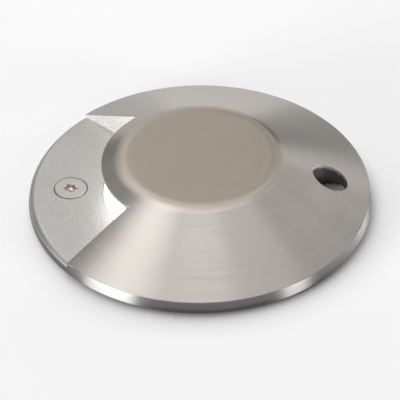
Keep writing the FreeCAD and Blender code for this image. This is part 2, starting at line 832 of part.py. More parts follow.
def add_spring_seats(body):
    """A flat pad for each spring, over one fin, with a tapped hole for the spring's screw."""
    root = barrel_radius - s.fin_root
    sketch = sketch_on(body, "seat_outline", XZ)
    add_outline(sketch, ring_corners(root, fin_radius, spring_seat_bottom, spring_seat_top))
    seat = thickened(body, "Pad", "seat", sketch, s.spring_seat_width, both_ways=True)
    hole_outline = sketch_on(body, "seat_hole_outline", YZ, lift=fin_radius)
    add_circle(hole_outline, 0, spring_screw_height, s.small_screw_hole)
    hole = thickened(body, "Pocket", "seat_hole", hole_outline, s.spring_screw_reach)
    polar_copies(body, "seats", [seat, hole], s.spring_count)


def make_threaded_inserts():
    top = -s.insert_depth
    bottom = insert_bottom
    waist = s.insert_radius - s.insert_depth / 2
    middle = (top + bottom) / 2
    body, insert = turned_body("threaded_inserts", [
        (s.insert_bore_radius, bottom), (s.insert_radius, bottom), (s.insert_radius, middle - s.insert_depth),
        (waist, middle - s.insert_depth), (waist, middle + s.insert_depth),
        (s.insert_radius, middle + s.insert_depth), (s.insert_radius, top), (s.insert_bore_radius, top)],
        shift=(screw_circle, 0))
    polar_copies(body, "insert_pair", [insert], length(2))
    return body


def make_retaining_springs():
    """Leaf springs: flat on the seat, bowed out to the sleeve below it, and turned in at the tail."""
    inner = fin_radius
    bow = sleeve_bore_radius - s.spring_gap - s.spring_thickness
    tail = bow - s.spring_tail_lean
    seat_end = spring_seat_bottom + s.spring_width / 4
    turn_height = spring_seat_bottom - s.spring_bow_drop
    tail_height = spring_seat_bottom - s.spring_tail_drop
    start = spring_seat_top - s.spring_width / 8
    leaf = s.spring_thickness
    body = new_body("retaining_springs")
    sketch = sketch_on(body, "spring_section", XZ)
    add_outline(sketch, [
        (inner, start), (inner, seat_end, s.spring_bend_round), (bow, turn_height, s.spring_bend_round),
        (tail, tail_height), (tail + leaf, tail_height), (bow + leaf, turn_height, s.spring_bend_round),
        (inner + leaf, seat_end, s.spring_bend_round), (inner + leaf, start)])
    spring = thickened(body, "Pad", "spring", sketch, s.spring_width, both_ways=True)
    hole_outline = sketch_on(body, "spring_hole_outline", YZ, lift=inner + leaf)
    add_circle(hole_outline, 0, spring_screw_height, s.small_screw_hole)
    hole = thickened(body, "Pocket", "spring_hole", hole_outline, leaf)
    polar_copies(body, "spring_set", [spring, hole], s.spring_count)
    return body


def make_spring_screws():
    seat = fin_radius + s.spring_thickness
    flipped = [(corner[1], corner[0], *corner[2:])
               for corner in small_screw_corners(seat, s.spring_screw_reach)]
    body, screw = turned_body("spring_screws", flipped,
                              shift=(0, spring_screw_height), axis="H_Axis")
    polar_copies(body, "spring_screw_set", [screw], s.spring_count)
    return body


# The driver under the heat spreader

def make_standoffs():
    bottom = driver_board_top
    top = spreader_bottom
    body = new_body("driver_standoffs")
    sketch = sketch_on(body, "standoff_outline", XZ, shift=(standoff_circle, 0))
    bore = s.small_screw_hole
    add_outline(sketch, [
        (bore, bottom), (s.standoff_radius, bottom), (s.standoff_radius, top),
        (s.small_screw_radius, top), (s.small_screw_radius, top + s.standoff_stud),
        (0, top + s.standoff_stud), (0, bottom + s.standoff_bore), (bore, bottom + s.standoff_bore)])
    standoff = turned(body, "Revolution", "standoff", sketch)
    polar_copies(body, "standoff_set", [standoff], length(3))
    return body


def make_driver_board():
    body, _ = turned_body("driver_board", ring_corners(0, driver_board_radius, driver_board_bottom,
                                                       driver_board_top))
    drilled(body, "driver_board_holes", standoff_places(), s.small_screw_hole, driver_board_top,
            s.board_thickness)
    return body


def make_driver_screws():
    """Screws from below, through the driver board into the standoffs."""
    seat = driver_board_bottom
    reach = s.board_thickness + s.standoff_bore - s.spreader_gap
    upside_down = [(corner[0], 2 * seat - corner[1], *corner[2:])
                   for corner in small_screw_corners(seat, reach)]
    body, screw = turned_body("driver_screws", upside_down, shift=(standoff_circle, 0))
    polar_copies(body, "driver_screw_set", [screw], length(3))
    return body


def make_transformer():
    """Two core halves with the winding between them, hanging from the driver board."""
    centre = -s.transformer_length / 3
    bottom = driver_board_bottom - s.transformer_height
    body = new_body("driver_transformer")
    block(body, "winding", centre, 0, bottom + s.winding_inset, s.transformer_length,
          s.transformer_width - 2 * s.winding_inset, s.transformer_height - s.winding_inset)
    block(body, "core", centre, 0, bottom, s.transformer_core, s.transformer_width, s.transformer_height)
    return body


def make_capacitors():
    body = new_body("driver_capacitors")
    sketch = sketch_on(body, "capacitor_outline", XY, lift=driver_board_bottom)
    centre_y = s.capacitor_inset - driver_board_radius
    step = s.capacitor_radius * 3 / 2
    add_circle(sketch, 0, centre_y, s.capacitor_radius)
    add_circle(sketch, step * 3 / 2, centre_y + step, s.capacitor_radius)
    cans = thickened(body, "Pad", "cans", sketch, s.capacitor_height, backwards=True)
    document.recompute()
    end = (driver_board_bottom - s.capacitor_height).value
    edges = edges_at(cans.Shape, lambda middle, edge: abs(middle.z - end) < SAME)
    finish_edges(body, "Chamfer", "can_edges", cans, edges, s.capacitor_chamfer)
    return body


def make_terminal_block():
    centre_x = s.terminal_pitch / 2
    centre_y = driver_board_radius - s.terminal_width
    bottom = driver_board_bottom - s.terminal_height
    body = new_body("terminal_block")
    block(body, "terminal_body", centre_x, centre_y, bottom, s.terminal_length, s.terminal_width,
          s.terminal_height)
    sketch = sketch_on(body, "terminal_hole_outline", XY, lift=bottom)
    for step in (-1, 0, 1):
        add_circle(sketch, centre_x + step * s.terminal_pitch, centre_y, s.terminal_hole_radius)
    thickened(body, "Pocket", "terminal_holes", sketch, s.terminal_height / 2, backwards=True)
    return body


# The gland and the vent in the housing's floor

def make_gland_washer():
    body, _ = turned_body("gland_washer", ring_corners(gland_hole_radius, s.gland_washer_radius,
                                                       gland_hex_top, housing_bottom))
    return body


def make_gland_body():
    """Threaded stem up through the floor, hexagon, and a spigot below with a pocket for the seal."""
    stem_top = gland_hex_top + s.gland_washer + s.gland_thread_reach
    seal_seat_height = gland_spigot_end + s.gland_seal_length - s.gland_thread_gap * 7
    body, _ = turned_body("gland_body", ring_corners(0, s.gland_thread_radius, gland_spigot_end, stem_top))
    hexagon(body, "gland_hexagon", s.gland_hex_radius, gland_hex_bottom, s.gland_hex)
    past_end = gland_spigot_end - PAST
    seal_pocket = s.gland_seal_radius + s.gland_thread_gap
    turned_cut(body, "gland_bore", [
        (0, past_end), (seal_pocket, past_end), (seal_pocket, seal_seat_height),
        (s.gland_bore_radius, seal_seat_height), (s.gland_bore_radius, stem_top + PAST),
        (0, stem_top + PAST)])
    return body


def make_gland_locknut():
    body = new_body("gland_locknut")
    hexagon(body, "locknut_hexagon", s.locknut_hex_radius, housing_floor_top, s.locknut)
    drilled(body, "locknut_bore", [(0, 0)], gland_hole_radius, housing_floor_top + s.locknut, s.locknut)
    return body


def make_gland_seal():
    bottom = gland_nut_bottom + s.gland_nut_lip + s.gland_thread_gap
    top = gland_spigot_end + s.gland_seal_length - s.gland_thread_gap * 8
    body, _ = turned_body("gland_seal", ring_corners(s.gland_cable_radius, s.gland_seal_radius, bottom, top))
    return body


def make_gland_nut():
    body = new_body("gland_nut")
    dome_top = gland_nut_top - s.gland_nut_hex
    hexagon(body, "nut_hexagon", s.gland_hex_radius, dome_top, s.gland_nut_hex)
    sketch = sketch_on(body, "nut_dome_outline", XZ)
    dome_radius = s.gland_hex_radius * cosine(30)
    add_outline(sketch, [(0, gland_nut_bottom), (dome_radius - s.gland_nut_slope, gland_nut_bottom),
                         (dome_radius, gland_nut_bottom + s.gland_nut_slope), (dome_radius, dome_top),
                         (0, dome_top)])
    turned(body, "Revolution", "nut_dome", sketch)
    inside_end = gland_nut_bottom + s.gland_nut_lip
    mouth = s.gland_bore_radius
    turned_cut(body, "nut_bore", [
        (0, gland_nut_bottom - PAST), (mouth, gland_nut_bottom - PAST), (mouth, inside_end),
        (gland_hole_radius, inside_end), (gland_hole_radius, gland_nut_top + PAST),
        (0, gland_nut_top + PAST)])
    return body


def make_vent_plug():
    body = new_body("vent_plug")
    hexagon(body, "vent_head", s.vent_head_radius, housing_bottom - s.vent_head, s.vent_head)
    drilled_top = housing_floor_top + PAST
    sketch = sketch_on(body, "vent_stem_outline", XY, lift=housing_bottom)
    add_circle(sketch, 0, 0, s.vent_radius)
    thickened(body, "Pad", "vent_stem", sketch, drilled_top - housing_bottom)
    drilled(body, "vent_bore", [(0, 0)], s.vent_bore_radius, drilled_top,
            drilled_top - housing_bottom + s.vent_head)
    drive(body, "Placement.Base.y", -s.vent_circle)
    return body


# The ground sleeve and what is fixed to it

def make_sleeve():
    """The barrel: a tube with a wider collar whose step carries the housing's flange."""
    collar_radius = seat_radius + s.collar_wall
    collar_top = -s.collar_drop
    collar_bottom = -s.collar_depth
    body, _ = turned_body("sleeve", [
        (sleeve_bore_radius, foot_top), (sleeve_radius, foot_top),
        (sleeve_radius, collar_bottom - s.collar_slope), (collar_radius, collar_bottom),
        (collar_radius, collar_top), (seat_radius, collar_top), (seat_radius, seal_seat),
        (sleeve_bore_radius, seal_seat)])
    through = turned_cut(body, "conduit_hole", [
        (sleeve_bore_radius / 2, 0), (sleeve_bore_radius / 2, through_radius),
        (hub_face, through_radius), (hub_face, 0)], shift=(0, hub_height), axis="H_Axis")
    polar_copies(body, "conduit_holes", [through], length(2))
    return body


def make_sleeve_foot():
    """The floor under the barrel, with a flange, gussets, a cable entry, drains and anchor holes."""
    body, _ = turned_body("sleeve_foot", ring_corners(0, foot_radius, foot_bottom, foot_top))
    gusset_turn = FULL_TURN / 2 / s.gusset_count.value
    gusset_outline = sketch_on(body, "gusset_outline", XZ, turn=gusset_turn)
    root = foot_top - s.foot_thickness / 2
    add_outline(gusset_outline, [
        (sleeve_radius, root), (sleeve_radius + s.gusset_width, root),
        (sleeve_radius + s.gusset_width, foot_top), (sleeve_radius, foot_top + s.gusset_height)])
    gusset = thickened(body, "Pad", "gusset", gusset_outline, s.gusset_thickness, both_ways=True)
    polar_copies(body, "gussets", [gusset], s.gusset_count)
    drilled(body, "cable_entry", [(0, 0)], s.conduit_radius, foot_top, s.foot_thickness)
    drain = drilled(body, "drain", [(s.drain_circle, 0)], s.drain_radius, foot_top, s.foot_thickness)
    polar_copies(body, "drains", [drain], s.drain_count)
    anchor_places = spaced_on_circle(foot_radius - s.anchor_edge, length(45), 4)
    drilled(body, "anchor_holes", anchor_places, s.anchor_hole_radius, foot_top, s.foot_thickness)
    return body


def make_conduit_hubs():
    """Two sockets for conduit, each saddled to the barrel, with a step that stops the pipe."""
    body = new_body("conduit_hubs")
    outline = sketch_on(body, "hub_outline", YZ, lift=hub_face)
    add_circle(outline, 0, hub_height, hub_radius)
    hub = thickened(body, "Pad", "hub", outline, hub_face - sleeve_bore_radius / 2, backwards=True)
    socket = turned_cut(body, "conduit_socket", [
        (sleeve_bore_radius / 4, 0), (sleeve_bore_radius / 4, through_radius),
        (socket_end, through_radius), (socket_end, s.conduit_radius),
        (hub_face + PAST, s.conduit_radius), (hub_face + PAST, 0)],
        shift=(0, hub_height), axis="H_Axis")
    polar_copies(body, "hub_pair", [hub, socket], length(2))
    turned_cut(body, "saddles", ring_corners(0, sleeve_radius, foot_bottom, -s.collar_depth))
    return body


def make_rim_seal():
    body, _ = turned_body("rim_seal", ring_corners(sleeve_bore_radius + s.rim_seal_inset,
                                                   flange_radius - s.rim_seal_inset,
                                                   seal_seat, flange_bottom))
    return body


def make_conduit_plug():
    """A cup pushed into the hub that is not used, with its head on the hub's face."""
    reach = hub_face - s.plug_reach
    spigot = s.conduit_radius - s.plug_gap
    hollow = spigot - s.plug_wall
    head_face = hub_face + s.plug_head
    body, _ = turned_body("conduit_plug", [
        (reach, hollow), (reach, spigot), (hub_face, spigot), (hub_face, hub_radius),
        (head_face - s.plug_chamfer, hub_radius), (head_face, hub_radius - s.plug_chamfer),
        (head_face, 0), (hub_face, 0), (hub_face, hollow)],
        shift=(0, hub_height), axis="H_Axis")
    return body


def make_all():
    return [
        make_cover(),
        make_cover_gasket(),
        make_cover_screw("window_screw", -1),
        make_cover_screw("back_screw", 1),
        make_lens_gasket("upper_lens_gasket", lens_flange_top),
        make_lens(),
        make_lens_gasket("lower_lens_gasket", lens_pocket_floor),
        make_reflector(),
        make_led_packages(),
        make_lamp_disc("led_board", board_radius, board_bottom, s.board_thickness),
        make_board_screws(),
        make_led_connector(),
        make_lamp_disc("thermal_pad", board_radius, spreader_top, s.pad_thickness),
        make_heat_spreader(),
        make_retaining_ring(),
        make_led_leads(),
        make_threaded_inserts(),
        make_housing(),
        make_standoffs(),
        make_driver_board(),
        make_driver_screws(),
        make_transformer(),
        make_capacitors(),
        make_terminal_block(),
        make_gland_washer(),
        make_gland_body(),
        make_gland_locknut(),
        make_gland_seal(),
        make_gland_nut(),
        make_vent_plug(),
        make_retaining_springs(),
        make_spring_screws(),
        make_rim_seal(),
        make_sleeve(),
        make_sleeve_foot(),
        make_conduit_hubs(),
        make_conduit_plug(),
    ]


def check(bodies):
    """Stop if a feature failed or a piece has no sound solid."""
    for item in document.Objects:
        if "Invalid" in item.State or "Error" in item.State:
            raise RuntimeError(f"{item.Label} failed: {item.State}")
    for body in bodies:
        if body.Shape.isNull() or not body.Shape.isValid() or not body.Shape.Solids:
            raise RuntimeError(f"{body.Label} has no sound solid")


bodies = make_all()
document.recompute()
check(bodies)
os.makedirs("parts", exist_ok=True)
for body in bodies:
    body.Shape.exportStep(f"parts/{body.Label}.step")
    box = body.Shape.BoundBox
    print(f"{body.Label:20s} {len(body.Shape.Solids)} solids, {body.Shape.Volume:10.1f} mm3, "
          f"z {box.ZMin:7.2f} to {box.ZMax:6.2f}")
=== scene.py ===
import json
import math

import bpy
from mathutils import Matrix, Vector


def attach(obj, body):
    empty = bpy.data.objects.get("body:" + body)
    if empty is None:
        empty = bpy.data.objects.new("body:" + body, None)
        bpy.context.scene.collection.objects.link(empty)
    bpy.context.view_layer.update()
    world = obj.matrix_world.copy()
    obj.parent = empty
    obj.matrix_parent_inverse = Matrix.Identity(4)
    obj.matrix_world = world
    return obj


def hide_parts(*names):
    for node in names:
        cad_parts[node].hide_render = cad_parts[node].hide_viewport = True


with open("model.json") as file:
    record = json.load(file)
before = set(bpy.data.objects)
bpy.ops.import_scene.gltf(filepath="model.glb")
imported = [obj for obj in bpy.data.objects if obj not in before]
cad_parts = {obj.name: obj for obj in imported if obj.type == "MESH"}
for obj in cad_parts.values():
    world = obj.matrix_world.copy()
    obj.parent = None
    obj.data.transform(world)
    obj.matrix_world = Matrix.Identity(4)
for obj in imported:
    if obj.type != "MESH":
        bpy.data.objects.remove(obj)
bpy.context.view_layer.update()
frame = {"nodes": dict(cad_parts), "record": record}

MM = 0.001

# Camera, fitted to the outline of the cover

CAMERA_AZIMUTH, CAMERA_ELEVATION = -87.22, 40.02
CAMERA_ROLL, CAMERA_PITCH = -0.54, -0.038
CAMERA_DISTANCE = 877.4 * MM
CAMERA_LENS, CAMERA_SENSOR, CAMERA_NEAR = 270, 36, 0.01

# Cover, in millimetres: a turned cone with a rim, a flat top, and hollows below for the lens and the seal

ROUND_SIDES = 360
RIM_RADIUS, RIM_TOP_RADIUS, RIM_HEIGHT, RIM_ROUND = 50.0, 49.6, 3.2, 0.5
TOP_RADIUS, TOP_HEIGHT, TOP_BLEND = 23.0, 16.0, 10.0
CONE_FALL = (TOP_HEIGHT - RIM_HEIGHT) / (RIM_TOP_RADIUS - TOP_RADIUS)
RIM_DRAFT = (RIM_RADIUS - RIM_TOP_RADIUS) / RIM_HEIGHT
CAVITY_RADIUS, CAVITY_TOP = 28.0, 12.35
GROOVE_OUTER, GROOVE_INNER, GROOVE_TOP = 45.35, 43.55, 1.7
WINDOW_RADIUS, WINDOW_FLOOR, WINDOW_HALF_ANGLE, WALL_ANGLE = 28.5, 2.75, 46.4, 38.3
FLOOR_ROUND, NOTCH_RADIUS = 2.0, 0.4
SCREW_CIRCLE, SCREW_HOLE, COUNTERSINK = 37.85, 2.75, 5.13

# Where the finishes of the cover meet. A face's slope here is how far its normal points up: 1 is level.

GROUND_SLOPE = 0.97         # the top is ground down to where its rounding leans this much
RIM_SLOPE = 0.85            # between the cone and the rounding of its rim
FLOOR_SLOPE = 0.5           # the window's floor is blasted down to this in its rounding
WALL_SLOPE = 0.1            # walls have less
FACING = 0.9                # faces that look up or down have more

# Where they meet, in millimetres

GROUND_FOOT = 15.0          # the ground top is above this height
POLISH_START = 49.3         # the rim is polished from here outwards
WINDOW_START, WALL_END = 25.5, 49.0     # the window's finishes, outwards from the centre line
WINDOW_FOOT = 0.5           # the window's finishes are above this height
TOP_FADE = 18.5, 25.0       # where the top's tone fades into the cone's, outwards
NEAR = 0.1                  # a face's middle this close to a size counts as on it

# Cutters, in millimetres

HIGH, LOW = 25.0, -5.0      # heights that clear the cover above and below
MARGIN = 5.0                # how far a cutter reaches past what it cuts
OVERLAP = 1.0               # the same inside a hollow
WEDGE_START = 8.0           # the window's wedge starts this far behind the ends of the lip
SPARE = 0.01                # keeps two cuts from sharing a face
SAME = 0.01                 # heights that differ by less are one height

# Cover screws, in millimetres

HEAD_RADIUS, HEAD_LAND, HEAD_EDGE = 4.65, 0.3, 0.2
SHANK_RADIUS, SCREW_TIP, TIP_CHAMFER = 2.5, -11.25, 0.3
SOCKET_CORE, SOCKET_LOBE, SOCKET_REACH, SOCKET_DEPTH, LOBES = 1.65, 0.55, 2.25, 1.8, 6
PIN_RADIUS, PIN_ROUND, PIN_ROOT = 0.65, 0.2, 0.5

# Lens, in millimetres

LENS_RADIUS, LENS_TOP, LENS_ROUND, LENS_WALL = 27.7, 11.95, 1.0, 2.5
LENS_FLANGE_RADIUS, LENS_FLANGE_TOP, LENS_FOOT = 32.5, -1.0, -3.0
LENS_GLOW = 2.0             # emission strength

# Ground sleeve, in millimetres

SLEEVE_SIDES = 240
SLEEVE_BORE, SLEEVE_RADIUS, SLEEVE_FOOT, SLEEVE_TOP = 44.5, 47.0, -97.0, -0.4
COLLAR_RADIUS, COLLAR_FOOT, COLLAR_SLOPE, SEAT_RADIUS, SEAT_HEIGHT = 49.3, -12.0, 3.0, 47.3, -5.0
FOOT_RADIUS, FOOT_BOTTOM, CONDUIT_RADIUS, CONDUIT_STOP = 58.0, -100.0, 13.45, 11.95
GUSSETS, GUSSET_THICK, GUSSET_WIDE, GUSSET_HIGH = 8, 3.0, 9.0, 12.0
GUSSET_TOE, GUSSET_SINK = 0.012, 0.2
DRAINS, DRAIN_CIRCLE, DRAIN_RADIUS = 8, 32.0, 3.0
ANCHORS, ANCHOR_CIRCLE, ANCHOR_RADIUS = 4, 52.5, 2.75
HUB_SIDES, HUB_HEIGHT, HUB_FACE, HUB_RADIUS, SOCKET_END = 96, -80.5, 62.0, 16.0, 49.0
PLUG_HEAD, PLUG_SPIGOT, PLUG_HOLLOW, PLUG_END, PLUG_CHAMFER = 64.5, 13.25, 11.25, 52.0, 0.8
MOULD_EDGE, MOULD_STEPS, MOULD_ANGLE = 0.4, 3, 35.0
SMOOTH_ANGLE = 25.0         # degrees: faces that turn less look like one surface

# Finishes

NOISE_RANGE = 0.3, 0.7      # where most of a noise's values lie
CLEAR_RANGE = 0.35, 0.65    # the same, for clearer streaks and specks
LIT_BAND_DEPTH = 0.8, 1.3       # millimetres under the bore's mouth where the painted lit band fades into the painted shade below
LIT_BAND_RAGGED = 0.4           # millimetres that the painted band's edge wanders up and down

# Stage

FLOOR_HOLE, FLOOR_REACH, FLOOR_SIDES = 49.6 * MM, 3.0, 192
FLOOR_DROP = 0.02 * MM
FLOOR_WHITE = 0.95
FLOOR_LIFT = 0.10           # brings the floor up to the photo's pale ground for the camera and in reflections
BACKDROP = 0.92             # what the camera sees past the floor
SHADOW_REACH = 0.012        # metres from the rim within which the floor darkens
SHADOW_OPEN = 0.6, 0.96     # how open the floor is where the shadow is full, and where it ends
SHADOW_FALL = 1.7           # power of its fading
SHADOW_SIDE = 288           # azimuth where it's deepest
SHADOW_TURN = -0.25, 0.9    # cosines of the angles from there where it's least, and full
SHADOW_LEAST = 0.05

# Lamps: soft boxes on a dome round the object, in rings from overhead down to just above the ground.
# The strong low ones make the bright places of the rim. The two from below light the sleeve's foot.
# The watts were fitted to trial renders beside the photo, then rounded to a tenth.

LAMP_DISTANCE = 1.5
HIGH_LAMP, LOW_LAMP = (0.6, 0.5), (0.42, 0.34)     # metres across and up
LOW_ELEVATION = 25          # lamps below this are low ones
LAMP_RINGS = {
    # elevation: {azimuth: watts}
    89: {0: 3.1},
    70: {0: 0.4, 45: 2.5, 135: 2.8, 180: 2.0},
    50: {24: 0.4, 48: 1.4, 120: 2.2, 192: 1.9},
    32: {60: 1.1, 100: 0.8, 120: 0.7},
    18: {60: 0.7, 105: 0.5},
    6: {0: 0.6, 15: 1.3, 30: 3.8, 75: 0.3, 90: 1.1, 105: 0.4, 210: 8.8, 225: 11.2, 330: 7.4},
    -50: {45: 3.0, 225: 3.0},
}


def direction(azimuth, elevation):
    turn, rise = math.radians(azimuth), math.radians(elevation)
    return Vector((math.cos(rise) * math.cos(turn), math.cos(rise) * math.sin(turn), math.sin(rise)))


def aimed(thing, place, roll=0.0, pitch=0.0):
    """Turn a camera or a lamp at a place towards the origin."""
    look = (-place).to_track_quat("-Z", "Y").to_matrix().to_4x4()
    thing.matrix_world = (Matrix.Translation(place) @ look @ Matrix.Rotation(math.radians(roll), 4, "Z")
                          @ Matrix.Rotation(math.radians(pitch), 4, "X"))


def make_camera():
    camera = bpy.data.objects.new("camera", bpy.data.cameras.new("camera"))
    bpy.context.scene.collection.objects.link(camera)
    camera.data.sensor_width = CAMERA_SENSOR
    camera.data.lens = CAMERA_LENS
    camera.data.clip_start = CAMERA_NEAR
    aimed(camera, direction(CAMERA_AZIMUTH, CAMERA_ELEVATION) * CAMERA_DISTANCE, CAMERA_ROLL, CAMERA_PITCH)
    bpy.context.scene.camera = camera


def make_lamps():
    for elevation, ring in LAMP_RINGS.items():
        for azimuth, power in ring.items():
            name = f"lamp_{azimuth}_{elevation}"
            lamp = bpy.data.objects.new(name, bpy.data.lights.new(name, "AREA"))
            bpy.context.scene.collection.objects.link(lamp)
            lamp.data.shape = "RECTANGLE"
            lamp.data.size, lamp.data.size_y = LOW_LAMP if elevation < LOW_ELEVATION else HIGH_LAMP
            lamp.data.energy = power
            aimed(lamp, direction(azimuth, elevation) * LAMP_DISTANCE)


# Node trees

def new_tree(material_name):
    material = bpy.data.materials.new(material_name)
    material.use_nodes = True
    tree = material.node_tree
    tree.nodes.clear()
    return material, tree


def fill(tree, socket, value):
    """Link a socket to another, or set its number or colour."""
    if isinstance(value, bpy.types.NodeSocket):
        tree.links.new(value, socket)
    elif socket.type == "RGBA":
        socket.default_value = (*value, 1.0)
    else:
        socket.default_value = value


def node(tree, kind, inputs=(), **settings):
    """Add a node, set its properties, and fill its inputs."""
    made = tree.nodes.new(kind)
    for name, value in settings.items():
        setattr(made, name, value)
    for name, value in dict(inputs).items():
        fill(tree, made.inputs[name], value)
    return made


def maths(tree, operation, one, other=0.0):
    return node(tree, "ShaderNodeMath", {0: one, 1: other}, operation=operation).outputs[0]


def object_place(tree):
    return node(tree, "ShaderNodeTexCoord").outputs["Object"]


def centre_distance(tree):
    """How far a point is from the centre line, in metres."""
    flat = node(tree, "ShaderNodeVectorMath", {0: object_place(tree), 1: (1, 1, 0)}, operation="MULTIPLY")
    return node(tree, "ShaderNodeVectorMath", {0: flat.outputs[0]}, operation="LENGTH").outputs["Value"]


def noise(tree, place, scale, detail):
    texture = node(tree, "ShaderNodeTexNoise", {"Vector": place, "Scale": scale, "Detail": detail})
    return texture.outputs["Fac"]


def blend_colours(tree, mask, one, other):
    return node(tree, "ShaderNodeMix", {0: mask, 6: one, 7: other}, data_type="RGBA").outputs[2]


def spread(tree, value, low, high, low_to, high_to):
    """Map a value's range onto another, held at both ends."""
    return node(tree, "ShaderNodeMapRange", {"Value": value, "From Min": low, "From Max": high,
                                             "To Min": low_to, "To Max": high_to}).outputs[0]


def unevenness(tree, noise_value, least, most):
    """A noise's middle range mapped between two values."""
    return spread(tree, noise_value, *NOISE_RANGE, least, most)


def bump(tree, height, distance, strength=1.0):
    """A bump whose distance is in millimetres."""
    return node(tree, "ShaderNodeBump", {"Height": height, "Distance": distance * MM,
                                         "Strength": strength}).outputs["Normal"]


def finished(tree, base, **inputs):
    """The Principled shader of a material and its output."""
    shader = node(tree, "ShaderNodeBsdfPrincipled", {
        "Base Color": base, **{name.replace("_", " "): value for name, value in inputs.items()}})
    node(tree, "ShaderNodeOutputMaterial", {"Surface": shader.outputs[0]})


# Effects that several materials share

def new_group(name, inputs, outputs):
    """An empty node group with named number inputs and outputs."""
    group = bpy.data.node_groups.new(name, "ShaderNodeTree")
    for label, default in inputs:
        socket = group.interface.new_socket(label, in_out="INPUT", socket_type="NodeSocketFloat")
        socket.default_value = default
    for label in outputs:
        group.interface.new_socket(label, in_out="OUTPUT", socket_type="NodeSocketFloat")
    return group, group.nodes.new("NodeGroupInput").outputs, group.nodes.new("NodeGroupOutput").inputs


def turning_lines():
    """Fine rings round the centre line, as a lathe leaves them, each a little broken along its way."""
    group, given, wanted = new_group("turning_lines", [("Rings", 2500.0)], ["Line"])
    place = node(group, "ShaderNodeSeparateXYZ", {0: object_place(group)}).outputs
    across = maths(group, "MULTIPLY", centre_distance(group), given[0])
    turn = maths(group, "ARCTAN2", place[1], place[0])
    along = node(group, "ShaderNodeCombineXYZ", {0: across, 1: turn, 2: place[2]}).outputs[0]
    group.links.new(noise(group, along, 1.0, 2.0), wanted[0])
    return group


def surface_grain():
    """A fine even grain and a broad soft unevenness, both by place on the piece."""
    group, given, wanted = new_group("surface_grain", [("Grains", 2000.0), ("Patches", 60.0)],
                                     ["Grain", "Patch"])
    place = object_place(group)
    group.links.new(noise(group, place, given[0], 2.0), wanted[0])
    group.links.new(noise(group, place, given[1], 3.0), wanted[1])
    return group


GROUPS = {}


def effect(tree, maker, **inputs):
    """Place a shared node group in a material. It's made the first time."""
    name = maker.__name__
    if name not in GROUPS:
        GROUPS[name] = maker()
    return node(tree, "ShaderNodeGroup", inputs, node_tree=GROUPS[name]).outputs


# Finishes

def slope_direction(tree):
    """The way outwards from the centre line, across the turning lines."""
    place = node(tree, "ShaderNodeSeparateXYZ", {0: object_place(tree)}).outputs
    outwards = node(tree, "ShaderNodeCombineXYZ", {0: place[0], 1: place[1]}).outputs[0]
    return node(tree, "ShaderNodeVectorTransform", {0: outwards}, vector_type="VECTOR",
                convert_from="OBJECT", convert_to="WORLD").outputs[0]


def turned_steel():
    """The cone: fine turning lines, with the tone of the ground top near its upper edge."""
    material, tree = new_tree("turned_steel")
    line = effect(tree, turning_lines, Rings=4200.0)["Line"]
    patch = effect(tree, surface_grain, Grains=900.0, Patches=45.0)["Patch"]
    streak = maths(tree, "ADD", maths(tree, "MULTIPLY", line, 0.5), maths(tree, "MULTIPLY", patch, 0.5))
    turned = blend_colours(tree, spread(tree, streak, *CLEAR_RANGE, 0.0, 1.0),
                           (0.357, 0.334, 0.312), (0.427, 0.400, 0.375))
    fade = spread(tree, centre_distance(tree), TOP_FADE[0] * MM, TOP_FADE[1] * MM, 0.0, 1.0)
    rough = maths(tree, "ADD", unevenness(tree, line, 0.31, 0.39), unevenness(tree, patch, -0.02, 0.02))
    finished(tree, blend_colours(tree, fade, (0.40, 0.355, 0.304), turned), Metallic=1.0, Roughness=rough,
             Anisotropic=0.8, Tangent=slope_direction(tree), Normal=bump(tree, line, 0.002, 0.6))
    return material


def polished_steel():
    """The rim's edge: it stretches reflections upright."""
    material, tree = new_tree("polished_steel")
    grain = effect(tree, surface_grain, Grains=900.0, Patches=70.0)
    colour = blend_colours(tree, grain["Patch"], (0.39, 0.38, 0.37), (0.43, 0.42, 0.41))
    up = node(tree, "ShaderNodeCombineXYZ", {2: 1.0}).outputs[0]
    finished(tree, colour, Metallic=1.0, Roughness=unevenness(tree, grain["Patch"], 0.38, 0.43),
             Anisotropic=1.0, Tangent=up, Normal=bump(tree, grain["Grain"], 0.002))
    return material


def ground_steel():
    """The flat top: ground evenly, so it shines the same way all over."""
    material, tree = new_tree("ground_steel")
    line = effect(tree, turning_lines, Rings=1600.0)["Line"]
    grain = effect(tree, surface_grain, Grains=1500.0, Patches=45.0)
    colour = blend_colours(tree, grain["Patch"], (0.386, 0.341, 0.292), (0.417, 0.368, 0.315))
    finished(tree, colour, Metallic=1.0, Roughness=unevenness(tree, line, 0.42, 0.52),
             Normal=bump(tree, grain["Grain"], 0.01))
    return material


def blasted_steel(name, dark, light, depth):
    """The window's floor or walls: blasted to an even sparkling grain."""
    material, tree = new_tree(name)
    grain = effect(tree, surface_grain, Grains=2300.0, Patches=60.0)
    speck = spread(tree, grain["Grain"], *CLEAR_RANGE, 0.0, 1.0)
    finished(tree, blend_colours(tree, speck, dark, light), Metallic=1.0,
             Roughness=unevenness(tree, grain["Patch"], 0.50, 0.62), Normal=bump(tree, grain["Grain"], depth))
    return material


